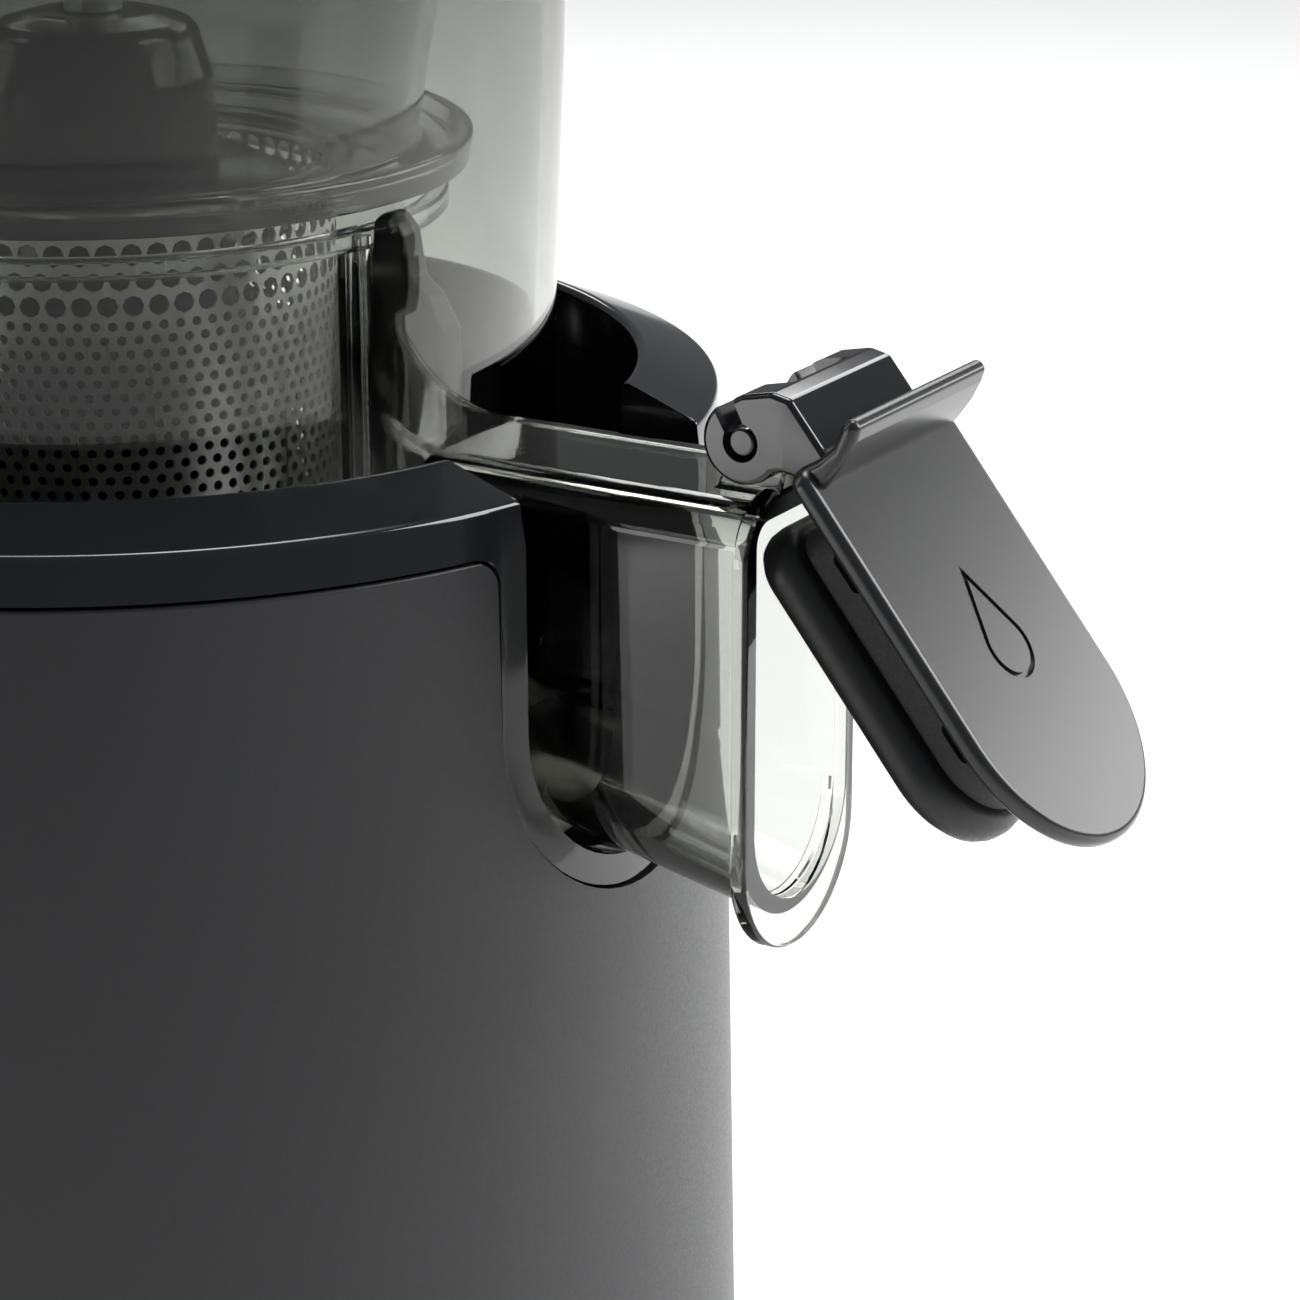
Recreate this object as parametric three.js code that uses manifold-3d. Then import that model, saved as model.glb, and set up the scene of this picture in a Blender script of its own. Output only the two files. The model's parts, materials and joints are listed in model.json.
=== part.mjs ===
// Vertical slow juicer: a motor base, a lift-off juicing bowl with a capped spout, and a feed hopper.
// Millimetres, +Z up. The origin is the centre of the footprint, on the surface that the feet rest on.
// The juice spout points along -Y and the pulp outlet along +Y.
import * as THREE from "three";
import { mergeVertices } from "three/addons/utils/BufferGeometryUtils.js";
import Module from "manifold-3d";

const wasm = await Module();
wasm.setup();

// Driving dimensions
const GAP = 0.3; // clearance between touching pieces
const AXIS_Y = 21.4; // the bowl's axis, behind the centre of the footprint
const SEAM_Z = 200; // lower edge of the collar, where the housing ends
const HOUSING_TOP_R = 89.5;
const HOUSING_FOOT_R = 93;
const HOUSING_WALL = 3;
const HOUSING_BOTTOM_Z = 6;
const RIDGE_R = 88.7; // bevel's outer edge on the collar
const RIDGE_Z = SEAM_Z + 6.7;
const WELL_R = 76.8; // bore of the well that the bowl stands in
const WELL_TOP_Z = SEAM_Z + 11.3;
const DECK_Z = 166; // floor of the well
const DECK_T = 4;
const BOWL_R = 65; // bowl's outer radius at the collar
const BOWL_TOP_R = 67.2;
const BOWL_WALL = 3;
const BOWL_FLOOR_Z = 169;
const BOWL_TOP_Z = 282;
const FRONT = { half: 23, trim: 4.3, centreZ: 174.5 }; // notch for the juice spout: a U with a round foot
const REAR = { half: 19, trim: 4.3, centreZ: 180 }; // notch for the pulp outlet
const SPOUT = {
  half: 15,
  wall: 2.3,
  topZ: SEAM_Z + 7.6,
  rootY: 68,
  mouthY: 113,
  rootCentreZ: 174.5,
  mouthCentreZ: 162.3,
};
const FLANGE = { half: 15.4, topZ: SEAM_Z + 8.8, bottomZ: SEAM_Z - 57.5, frontY: 115.5, thick: 2.5 };
const HINGE = { y: -113.6, z: SEAM_Z + 16.5, pinR: 1.9, barrelR: 5.6, half: 14 };
const OPEN_DEG = 38.4; // how far the cap stands open at rest
const CAP = { half: 20, length: 61.5, thick: 3, faceY: 122.9, topZ: SEAM_Z + 9, lipHalf: 18.3 };
const SCREEN_R = 33.4;
const SCREEN_TOP_Z = SEAM_Z + 39.3;
const AUGER_FLOOR_Z = 180;
const HOPPER_TOP_Z = 392;
const KNOB = { z: 125, r: 15.5, stemR: 5 };
const INLET_Z = 32;
const ROUND = 40; // facets round a large shell
const SMALL = 20; // facets round a small piece

// Colours, roughness and metalness of the finishes
const finish = (color, roughness, metalness = 0, opacity = 1) =>
  new THREE.MeshStandardMaterial({ color, roughness, metalness, opacity, transparent: opacity < 1 });
const MATTE_BLACK = finish(0x2b2c2f, 0.55);
const GLOSS_BLACK = finish(0x111214, 0.12);
const SMOKE_CLEAR = finish(0x55585a, 0.06, 0, 0.45);
const SILICONE = finish(0x101113, 0.7);
const RUBBER = finish(0x18191b, 0.85);
const STEEL = finish(0xb9b9b6, 0.28, 1);
const ZINC = finish(0x8f9296, 0.4, 1);
const NYLON = finish(0xd8d6cc, 0.5);
const BOARD_GREEN = finish(0x1f5a38, 0.6);
const AUGER_BLACK = finish(0x0d0e10, 0.25);
const COPPER = finish(0xa9683c, 0.35, 1);

const part = new THREE.Group();
const machine = new THREE.Group(); // everything, drawn about the bowl's axis
machine.position.y = AXIS_Y;
part.add(machine);

// A closed geometry as a manifold solid, turned outwards if its faces point in.
function solid(geometry) {
  const bare = geometry.clone();
  ["normal", "uv"].forEach((name) => bare.deleteAttribute(name));
  const merged = mergeVertices(bare, 1e-4);
  const index = merged.index.array;
  const kept = [];
  for (let i = 0; i < index.length; i += 3) {
    const [a, b, c] = [index[i], index[i + 1], index[i + 2]];
    if (a !== b && b !== c && c !== a) kept.push(a, b, c);
  }
  const build = (triangles) =>
    new wasm.Manifold(
      new wasm.Mesh({
        numProp: 3,
        vertProperties: new Float32Array(merged.attributes.position.array),
        triVerts: new Uint32Array(triangles),
      }),
    );
  const made = build(kept);
  if (made.volume() > 0) return made;
  const turned = [];
  for (let i = 0; i < kept.length; i += 3) turned.push(kept[i], kept[i + 2], kept[i + 1]);
  return build(turned);
}

const join = (first, ...rest) => rest.reduce((sum, piece) => sum.add(piece), first);
const cut = (first, ...rest) => rest.reduce((left, piece) => left.subtract(piece), first);

// Names a solid as a node of the part.
function piece(name, shape, material, parent = machine) {
  const data = shape.getMesh();
  const geometry = new THREE.BufferGeometry();
  geometry.setAttribute("position", new THREE.BufferAttribute(new Float32Array(data.vertProperties), 3));
  geometry.setIndex(new THREE.BufferAttribute(new Uint32Array(data.triVerts), 1));
  geometry.computeVertexNormals();
  const mesh = new THREE.Mesh(geometry, material);
  mesh.name = name;
  parent.add(mesh);
  return mesh;
}

// A profile of [radius, z] points turned about Z, starting and ending on the axis or closed into a ring.
function turned(profile, facets = ROUND) {
  const points = profile.map(([r, z]) => new THREE.Vector2(r, z));
  const solidCore = profile[0][0] === 0 && profile[profile.length - 1][0] === 0;
  if (!solidCore) points.push(points[0].clone());
  return solid(new THREE.LatheGeometry(points, facets).rotateX(Math.PI / 2));
}

const ring = (inner, outer, low, high, facets = ROUND) =>
  turned([[inner, low], [outer, low], [outer, high], [inner, high]], facets);
const disc = (radius, low, high, facets = SMALL) =>
  turned([[0, low], [radius, low], [radius, high], [0, high]], facets);
const block = (x, y, z, sx, sy, sz) => solid(new THREE.BoxGeometry(sx, sy, sz).translate(x, y, z));
const at = (shape, x, y, z) => shape.translate([x, y, z]);

// A shape drawn in X and Z and given depth along Y, from yLow to yHigh.
function alongY(shape, yLow, yHigh, curveSegments = 12) {
  const geometry = new THREE.ExtrudeGeometry(shape, {
    depth: yHigh - yLow,
    bevelEnabled: false,
    curveSegments,
  });
  return solid(geometry.rotateX(Math.PI / 2).translate(0, yHigh, 0));
}

// A shape drawn in Y and Z and given depth along X, from xLow to xHigh.
function alongX(shape, xLow, xHigh, curveSegments = 12) {
  const geometry = new THREE.ExtrudeGeometry(shape, {
    depth: xHigh - xLow,
    bevelEnabled: false,
    curveSegments,
  });
  return solid(geometry.rotateX(Math.PI / 2).rotateZ(Math.PI / 2).translate(xLow, 0, 0));
}

// An upright slot with a round foot: half wide each side, with its top corners rounded by corner.
function slotShape(half, centreZ, topZ, corner = 0) {
  const shape = new THREE.Shape();
  shape.moveTo(half, centreZ);
  shape.lineTo(half, topZ - corner);
  if (corner) shape.absarc(half - corner, topZ - corner, corner, 0, Math.PI / 2);
  else shape.lineTo(half, topZ);
  shape.lineTo(-half + corner, topZ);
  if (corner) shape.absarc(-half + corner, topZ - corner, corner, Math.PI / 2, Math.PI);
  shape.lineTo(-half, centreZ);
  shape.absarc(0, centreZ, half, Math.PI, 2 * Math.PI);
  return shape;
}

function polygon(points) {
  const shape = new THREE.Shape();
  points.forEach(([a, b], i) => (i ? shape.lineTo(a, b) : shape.moveTo(a, b)));
  return shape;
}

// A duct whose cross-section changes from one slot to another between two Y planes.
function loftedSlot(start, end, facets = 10) {
  const outline = ({ half, centreZ, topZ, corner }) => {
    const points = [];
    const arc = (x, z, radius, from, to, steps) => {
      for (let i = 0; i <= steps; i++) {
        const a = from + ((to - from) * i) / steps;
        points.push([x + radius * Math.cos(a), z + radius * Math.sin(a)]);
      }
    };
    arc(half - corner, topZ - corner, corner, 0, Math.PI / 2, 4);
    arc(-half + corner, topZ - corner, corner, Math.PI / 2, Math.PI, 4);
    arc(0, centreZ, half, Math.PI, 2 * Math.PI, facets);
    return points;
  };
  const rings = [start, end].map((s) => outline(s).map(([x, z]) => [x, s.y, z]));
  const count = rings[0].length;
  const triangles = [];
  const triangle = (...corners) => corners.forEach((corner) => triangles.push(...corner));
  for (let i = 0; i < count; i++) {
    const j = (i + 1) % count;
    triangle(rings[0][i], rings[0][j], rings[1][j]);
    triangle(rings[0][i], rings[1][j], rings[1][i]);
  }
  for (let i = 1; i < count - 1; i++) {
    triangle(rings[0][0], rings[0][i + 1], rings[0][i]);
    triangle(rings[1][0], rings[1][i], rings[1][i + 1]);
  }
  const geometry = new THREE.BufferGeometry();
  geometry.setAttribute("position", new THREE.BufferAttribute(new Float32Array(triangles), 3));
  return solid(geometry);
}

// A straight spur gear about Z, with trapezoid teeth.
function spurGear(teeth, module, low, high, bore) {
  const root = module * (teeth / 2 - 1.25);
  const tip = module * (teeth / 2 + 0.9);
  const pitch = (2 * Math.PI) / teeth;
  const outline = new THREE.Shape();
  for (let i = 0; i < teeth; i++) {
    const corners = [[root, -0.3], [tip, -0.11], [tip, 0.11], [root, 0.3]];
    corners.forEach(([r, share], k) => {
      const angle = (i + share) * pitch;
      const [x, y] = [r * Math.cos(angle), r * Math.sin(angle)];
      if (i || k) outline.lineTo(x, y);
      else outline.moveTo(x, y);
    });
  }
  const wheel = new THREE.ExtrudeGeometry(outline, { depth: high - low, bevelEnabled: false });
  return solid(wheel.translate(0, 0, low)).subtract(disc(bore, low - 1, high + 1));
}

// The space inside an internal gear: cutting it from a disc leaves teeth that point inwards.
function ringToothCutter(teeth, module, low, high) {
  const root = module * (teeth / 2 + 1.25);
  const tip = module * (teeth / 2 - 0.9);
  const pitch = (2 * Math.PI) / teeth;
  const outline = new THREE.Shape();
  for (let i = 0; i < teeth; i++) {
    [[tip, 0.11], [root, 0.3], [root, 0.7], [tip, 0.89]].forEach(([r, share], k) => {
      const angle = (i + share) * pitch;
      const [x, y] = [r * Math.cos(angle), r * Math.sin(angle)];
      if (i || k) outline.lineTo(x, y);
      else outline.moveTo(x, y);
    });
  }
  const space = new THREE.ExtrudeGeometry(outline, { depth: high - low, bevelEnabled: false });
  return solid(space.translate(0, 0, low));
}

// Motor base: housing, collar, deck, bottom cover and feet
const HOUSING_TAPER = (HOUSING_TOP_R - HOUSING_FOOT_R) / (SEAM_Z - HOUSING_BOTTOM_Z);
const housingR = (z) => HOUSING_FOOT_R + HOUSING_TAPER * (z - HOUSING_BOTTOM_Z);

function notchCutter(notch, extra, yLow, yHigh) {
  return alongY(slotShape(notch.half + extra, notch.centreZ, SEAM_Z + 30), yLow, yHigh, 9);
}

function housing() {
  const inner = (z) => housingR(z) - HOUSING_WALL;
  const shell = turned([
    [inner(HOUSING_BOTTOM_Z), HOUSING_BOTTOM_Z],
    [HOUSING_FOOT_R - 1.4, HOUSING_BOTTOM_Z],
    [HOUSING_FOOT_R - 0.4, HOUSING_BOTTOM_Z + 0.8],
    [housingR(HOUSING_BOTTOM_Z + 3), HOUSING_BOTTOM_Z + 3],
    [housingR(SEAM_Z), SEAM_Z],
    [inner(SEAM_Z), SEAM_Z],
  ]);
  const knobHole = disc(KNOB.stemR + 1, 80, 110).rotate([-90, 0, 0]);
  const inletHole = block(0, 90, INLET_Z, 27.6, 16, 19.6);
  return cut(
    shell,
    notchCutter(FRONT, FRONT.trim + GAP, -110, -60),
    notchCutter(REAR, REAR.trim + GAP, 60, 110),
    at(knobHole, 0, 0, KNOB.z),
    inletHole,
  );
}

// The U-shaped frame that lines a notch, from the well's wall out to the housing's face.
function notchLiner(notch, side) {
  const [near, far] = side < 0 ? [-110, -70] : [70, 110];
  const frame = (extra) =>
    cut(
      alongY(slotShape(notch.half + extra, notch.centreZ, SEAM_Z + 1), near, far, 9),
      alongY(slotShape(notch.half, notch.centreZ, SEAM_Z + 30), near - 1, far + 1, 9),
    );
  const face = frame(notch.trim).intersect(ring(84.6, HOUSING_TOP_R + 0.3, 100, SEAM_Z + 0.5));
  const tunnel = frame(2.2).intersect(ring(77.5, 86, 100, SEAM_Z + 0.5));
  const behindHousing = ring(housingR(100) - HOUSING_WALL - GAP - 0.1, 120, 100, SEAM_Z - 0.01);
  const seam = slotShape(notch.half + notch.trim - 0.01, notch.centreZ, SEAM_Z + 40);
  const outsideSeam = alongY(seam, near, far, 9);
  return join(face, tunnel.subtract(behindHousing.subtract(outsideSeam)));
}

function collar() {
  const top = turned([
    [WELL_R, DECK_Z + GAP],
    [WELL_R + 2.5, DECK_Z + GAP],
    [WELL_R + 2.5, WELL_TOP_Z - 3.6],
    [RIDGE_R - 2.7, RIDGE_Z - 2],
    [HOUSING_TOP_R - 2.6, SEAM_Z + GAP],
    [HOUSING_TOP_R, SEAM_Z + GAP],
    [RIDGE_R, RIDGE_Z],
    [WELL_R + 1, WELL_TOP_Z - 0.2],
    [WELL_R, WELL_TOP_Z - 0.8],
  ]);
  const open = cut(top, notchCutter(FRONT, 0, -120, -40), notchCutter(REAR, 0, 40, 120));
  return join(open, notchLiner(FRONT, -1), notchLiner(REAR, 1));
}

function deck() {
  const plate = turned([
    [16, DECK_Z - DECK_T],
    [WELL_R + 1.8, DECK_Z - DECK_T],
    [WELL_R + 1.8, DECK_Z],
    [24, DECK_Z],
    [24, DECK_Z + 1.4],
    [16, DECK_Z + 1.4],
  ]);
  return cut(
    plate,
    notchCutter(FRONT, 2.2 + GAP, -100, -62),
    notchCutter(REAR, 2.2 + GAP, 62, 100),
  );
}

function bottomCover() {
  const plate = disc(86.5, HOUSING_BOTTOM_Z + 0.4, HOUSING_BOTTOM_Z + 3, ROUND);
  const slots = [-18, -9, 0, 9, 18].map((x) => block(x, 0, HOUSING_BOTTOM_Z + 2, 4, 46, 10));
  return cut(plate, ...slots);
}

const FOOT_PLACES = {
  foot_front_left: [-48, -48],
  foot_front_right: [48, -48],
  foot_rear_left: [-48, 48],
  foot_rear_right: [48, 48],
};
const SCREW_PLACES = [[0, -70], [70, 0], [0, 70], [-70, 0]];

piece("housing", housing(), MATTE_BLACK);
piece("collar", collar(), GLOSS_BLACK);
piece("deck", deck(), GLOSS_BLACK);
piece("bottom_cover", bottomCover(), MATTE_BLACK);
const FOOT_TOP_Z = HOUSING_BOTTOM_Z + 0.1;
for (const [name, [x, y]] of Object.entries(FOOT_PLACES)) {
  const foot = turned([[0, 0], [8, 0], [9.5, 1.4], [9.5, FOOT_TOP_Z], [0, FOOT_TOP_Z]], 24);
  piece(name, at(foot, x, y, 0), RUBBER);
}
SCREW_PLACES.forEach(([x, y], i) => {
  const screw = turned([[0, 4.2], [3.2, 4.2], [3.2, 6.1], [0, 6.1]], 12);
  piece(`cover_screw_${i + 1}`, at(screw, x, y, 0), ZINC);
});

// Power inlet: a recessed three-pin socket in the back of the housing
function powerInlet() {
  const body = block(0, 85.5, INLET_Z, 27, 16, 19);
  const recess = block(0, 91.5, INLET_Z, 23.5, 10, 15.5);
  const pins = [[-7, -2], [0, 2.4], [7, -2]].map(([x, z]) => block(x, 88.4, INLET_Z + z, 2, 5, 4));
  return join(body.subtract(recess), ...pins);
}
piece("power_inlet", powerInlet(), GLOSS_BLACK);

// Motor, fan, reduction gears and drive shaft
const MOTOR = { r: 38, low: 30, high: 104 };
const BRACKET_Z = 106;
const GEARBOX = { y: -17, r: 59, low: BRACKET_Z + 3 + GAP, high: 150, wall: 3 };
const OUTPUT = { teeth: 36, pinion: 9, module: 2 };
const FIRST = { teeth: 40, pinion: 10, module: 1.25 };
const GEAR_1_Y = (-OUTPUT.module * (OUTPUT.teeth + OUTPUT.pinion)) / 2;
const MOTOR_Y = GEAR_1_Y + (FIRST.module * (FIRST.teeth + FIRST.pinion)) / 2;

function motorCan() {
  const can = ring(MOTOR.r - 2, MOTOR.r, MOTOR.low, MOTOR.high, 24);
  const lid = (low) => ring(8, MOTOR.r - 1, low, low + 2.5, 24);
  const windows = [45, 135].map((turn) => block(0, 0, 44, 90, 22, 12).rotate([0, 0, turn]));
  return at(cut(join(can, lid(MOTOR.low), lid(MOTOR.high - 2.5)), ...windows), 0, MOTOR_Y, 0);
}

function rotor() {
  const core = turned([
    [0, 24], [3, 24], [3, 52], [21, 52], [21, 94], [3, 94], [3, 124], [0, 124],
  ], SMALL);
  return at(core, 0, MOTOR_Y, 0);
}

function fan() {
  const hub = ring(3 + GAP, 9, 38, 43, 20);
  const blades = Array.from({ length: 9 }, (_, i) =>
    block(18.5, 0, 40.5, 21, 1.6, 5).rotate([0, 0, i * 40]),
  );
  return at(join(hub, ...blades), 0, MOTOR_Y, 0);
}

function motorBracket() {
  const plate = disc(84.2, BRACKET_Z, BRACKET_Z + 3, 40);
  return cut(plate, at(disc(9, 90, 130), 0, MOTOR_Y, 0), block(0, 66, BRACKET_Z, 70, 10, 10));
}

// The gear case holds both gear axes, open below.
function gearbox() {
  const shell = disc(GEARBOX.r, GEARBOX.low, GEARBOX.high, 40);
  const hollow = disc(GEARBOX.r - GEARBOX.wall, GEARBOX.low - 1, GEARBOX.high - GEARBOX.wall, 40);
  return cut(at(shell.subtract(hollow), 0, GEARBOX.y, 0), disc(11.4, 140, 160));
}

// The first stage's wheel and the second stage's pinion, in one moulding.
function reductionGear() {
  const wheel = spurGear(FIRST.teeth, FIRST.module, 114, 122, 3 + GAP);
  const gapToOutput = 90 - 180 / OUTPUT.pinion;
  const pinion = spurGear(OUTPUT.pinion, OUTPUT.module, 121.9, 136, 3 + GAP).rotate([0, 0, gapToOutput]);
  return at(join(wheel, pinion), 0, GEAR_1_Y, 0);
}

function hexBar(radius, low, high) {
  const hex = new THREE.Shape();
  for (let i = 0; i < 6; i++) {
    const angle = (i * Math.PI) / 3;
    const [x, y] = [radius * Math.cos(angle), radius * Math.sin(angle)];
    if (i) hex.lineTo(x, y);
    else hex.moveTo(x, y);
  }
  return solid(
    new THREE.ExtrudeGeometry(hex, { depth: high - low, bevelEnabled: false }).translate(0, 0, low),
  );
}

const SHAFT = { r: 7, hexR: 8 };
const motorPinion = spurGear(FIRST.pinion, FIRST.module, 114, 123, 3 + GAP);
piece("motor_can", motorCan(), ZINC);
piece("motor_bracket", motorBracket(), ZINC);
piece("gearbox_case", gearbox(), NYLON);
piece("motor_rotor", rotor(), COPPER);
piece("motor_fan", fan(), NYLON);
piece("motor_pinion", at(motorPinion, 0, MOTOR_Y, 0), STEEL);
piece("reduction_gear", reductionGear(), NYLON);
piece("gear_pin", at(disc(3, BRACKET_Z + 3 + GAP, 145, 16), 0, GEAR_1_Y, 0), STEEL);
piece("output_gear", spurGear(OUTPUT.teeth, OUTPUT.module, 125, 135, SHAFT.r + GAP), STEEL);
piece("drive_shaft", join(disc(SHAFT.r, 124, 173), hexBar(SHAFT.hexR, 172, 206)), STEEL);
piece("shaft_bearing", ring(SHAFT.r + GAP, 10.9, 141, 150, SMALL), STEEL);
piece("shaft_seal", ring(SHAFT.r + GAP, 15.6, 162.4, 167.2, SMALL), SILICONE);
piece("circuit_board", block(0, 62, 62, 56, 2, 44), BOARD_GREEN);

// Control knob at the back, under the pulp outlet
function knob() {
  const dial = turned([
    [0, 95], [KNOB.r - 0.5, 95], [KNOB.r, 96], [KNOB.r - 1, 103], [KNOB.r - 2, 104.6], [0, 104.6],
  ]);
  const stem = disc(KNOB.stemR, 78, 95.5, 16);
  const grip = block(0, 0, 105.4, 4.4, 25, 2.6);
  return at(join(dial, stem, grip).rotate([-90, 0, 0]), 0, 0, KNOB.z);
}
piece("control_knob", knob(), GLOSS_BLACK);
piece("control_switch", block(0, 69, KNOB.z, 26, 16, 26), NYLON);

// Juicing bowl: its floor carries the pin of the brush's idler gear
const GEAR_Z = 173; // underside of the brush's gears
const BRUSH_GEARS = { pinion: 16, idler: 8, ring: 32, module: 1.5 };
const IDLER_X = (BRUSH_GEARS.module * (BRUSH_GEARS.pinion + BRUSH_GEARS.idler)) / 2;

function bowl() {
  const floorTop = BOWL_FLOOR_Z + 3;
  const shell = turned([
    [11.6, BOWL_FLOOR_Z],
    [BOWL_R - 2, BOWL_FLOOR_Z],
    [BOWL_R, floorTop],
    [BOWL_R, SEAM_Z],
    [BOWL_TOP_R, BOWL_TOP_Z],
    [BOWL_TOP_R - BOWL_WALL, BOWL_TOP_Z],
    [BOWL_R - BOWL_WALL, SEAM_Z],
    [BOWL_R - BOWL_WALL, floorTop],
    [11.6, floorTop],
  ]);
  const juiceHole = alongY(slotShape(11, 184.5, SEAM_Z + 2, 4), -80, -40, 8);
  const pulpHole = alongY(slotShape(11, 188, SEAM_Z - 1, 3), 40, 80, 8);
  const idlerPin = at(disc(2, floorTop - 0.5, GEAR_Z + 4.6, 12), IDLER_X, 0, 0);
  return join(cut(shell, juiceHole, pulpHole), idlerPin);
}
piece("bowl", bowl(), SMOKE_CLEAR);

// Juice spout: a U-section duct that falls towards its flanged mouth
function juiceSpout() {
  const duct = (inset, yStart, yEnd) =>
    loftedSlot(
      {
        y: -yStart,
        half: SPOUT.half - inset,
        centreZ: SPOUT.rootCentreZ,
        topZ: SPOUT.topZ - inset,
        corner: 6 - inset,
      },
      {
        y: -yEnd,
        half: SPOUT.half - inset,
        centreZ: SPOUT.mouthCentreZ,
        topZ: SPOUT.topZ - inset,
        corner: 6 - inset,
      },
    );
  const flange = alongY(
    slotShape(FLANGE.half, FLANGE.bottomZ + FLANGE.half, FLANGE.topZ, 9),
    -FLANGE.frontY,
    -FLANGE.frontY + FLANGE.thick,
    10,
  );
  const boreShape = slotShape(SPOUT.half - SPOUT.wall, SPOUT.mouthCentreZ + 0.4, SEAM_Z + 5.3, 4);
  const bore = alongY(boreShape, -120, -112, 10);
  const bowlSide = disc(BOWL_R + GAP + 0.15, 100, 260, ROUND);
  const lug = alongX(
    polygon([[-106, SPOUT.topZ - 1], [-115.4, SPOUT.topZ - 1], [-117.2, HINGE.z - 2], [-116, HINGE.z + 2.4],
      [-112, HINGE.z + 2.8], [-110, HINGE.z]]),
    -7,
    7,
  );
  const pinBore = disc(HINGE.pinR + 0.15, -20, 20, 20).rotate([0, 90, 0]).translate([0, HINGE.y, HINGE.z]);
  return cut(
    join(duct(0, 60, SPOUT.mouthY + 1), flange, lug),
    duct(SPOUT.wall, 59.9, SPOUT.mouthY + 1.1),
    bore,
    bowlSide,
    pinBore,
  );
}
piece("juice_spout", juiceSpout(), SMOKE_CLEAR);
piece(
  "hinge_pin",
  disc(HINGE.pinR, -HINGE.half + 0.3, HINGE.half - 0.3, 20).rotate([0, 90, 0]).translate([0, HINGE.y, HINGE.z]),
  GLOSS_BLACK,
);

// Pulp outlet: a duct at the back that turns downwards, and the silicone plug in its floor
function pulpOutlet() {
  const hood = (inset) => {
    const shape = new THREE.Shape();
    const beyond = inset ? 1 : 0; // the hollow's tool passes through both open ends
    const [crown, back, mouth] = [203 - inset, 121 - inset, 160 - beyond];
    const [near, bendY] = [63 - 2 * beyond, 98];
    shape.moveTo(near, 175 + inset);
    shape.lineTo(near, crown);
    shape.lineTo(bendY, crown - 6);
    shape.absarc(bendY, crown - 6 - (back - bendY), back - bendY, Math.PI / 2, 0, true);
    shape.lineTo(back, mouth);
    shape.lineTo(99 + inset, mouth);
    shape.lineTo(97 + inset, 170 + inset);
    return alongX(shape, -14.5 + inset, 14.5 - inset, 6);
  };
  return cut(hood(0), hood(2.5), disc(BOWL_R + GAP + 0.15, 100, 260, ROUND));
}
piece("pulp_outlet", pulpOutlet(), SMOKE_CLEAR);
piece("pulp_packing", block(0, 84, 177.4, 18, 14, 3), SILICONE);
piece("bowl_gasket", ring(9.2, 11.2, BOWL_FLOOR_Z, BOWL_FLOOR_Z + 3, SMALL), SILICONE);

// Strainer: a steel screen under a clear cup
piece("strainer_screen", ring(SCREEN_R - 0.8, SCREEN_R, AUGER_FLOOR_Z + 0.6, SCREEN_TOP_Z - 0.3), STEEL);
function strainerCup() {
  const ledge = SCREEN_TOP_Z;
  return turned([
    [SCREEN_R + 0.4, ledge - 3.5],
    [SCREEN_R + 2.2, ledge - 3.5],
    [SCREEN_R + 2.6, ledge],
    [53.2, ledge],
    [53.8, ledge + 5],
    [51.4, ledge + 5],
    [51.2, ledge + 2.2],
    [45.2, ledge + 2.2],
    [50.6, BOWL_TOP_Z - 10],
    [BOWL_TOP_R - BOWL_WALL - 0.5, BOWL_TOP_Z - 2],
    [BOWL_TOP_R - BOWL_WALL - 0.5, BOWL_TOP_Z + GAP],
    [BOWL_TOP_R, BOWL_TOP_Z + GAP],
    [BOWL_TOP_R, BOWL_TOP_Z + 2.3],
    [60, BOWL_TOP_Z + 0.6],
    [48.4, BOWL_TOP_Z - 8.4],
    [43.2, ledge + 2.2],
    [32.4, ledge + 2.2],
    [32.4, ledge],
    [SCREEN_R + 0.4, ledge],
  ]);
}
piece("strainer_cup", strainerCup(), SMOKE_CLEAR);
function strainerBase() {
  return turned([
    [27, AUGER_FLOOR_Z - 1.2],
    [SCREEN_R + 2, AUGER_FLOOR_Z - 1.2],
    [SCREEN_R + 2, AUGER_FLOOR_Z + 4],
    [SCREEN_R + 0.4, AUGER_FLOOR_Z + 4],
    [SCREEN_R + 0.4, AUGER_FLOOR_Z + 0.2],
    [27, AUGER_FLOOR_Z + 0.2],
  ]);
}
piece("strainer_base", strainerBase(), GLOSS_BLACK);

// Rotating brush: a cage of two rings and three bars, each bar holding a silicone wiper.
// The lower ring is an internal gear that the auger turns backwards through an idler.
const BRUSH = { inner: 47, outer: 50, low: GEAR_Z, high: 236, bars: 3, firstDeg: -93 };
function brushFrame() {
  const web = 1.6;
  const lowRing = ring(BRUSH.inner, BRUSH.outer, BRUSH.low, BRUSH.low + 5, 32);
  const webRing = ring(26.6, BRUSH.inner + 0.5, BRUSH.low, BRUSH.low + web, 32);
  const gearBlank = ring(20, 28, BRUSH.low, BRUSH.low + 4.4, 32);
  const { ring: teeth, module } = BRUSH_GEARS;
  const toothSpace = ringToothCutter(teeth, module, BRUSH.low - 1, BRUSH.low + 6);
  const highRing = ring(BRUSH.inner, BRUSH.outer, BRUSH.high - 3, BRUSH.high, 32);
  const height = BRUSH.high - BRUSH.low;
  const bars = Array.from({ length: BRUSH.bars }, (_, i) =>
    block(48.5, 0, BRUSH.low + height / 2, 3, 9, height - 2).rotate([0, 0, BRUSH.firstDeg + i * 120]),
  );
  return join(gearBlank.subtract(toothSpace), webRing, lowRing, highRing, ...bars);
}
piece("brush_frame", brushFrame(), SMOKE_CLEAR);
const idler = spurGear(BRUSH_GEARS.idler, BRUSH_GEARS.module, GEAR_Z, GEAR_Z + 4.2, 2 + GAP);
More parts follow.
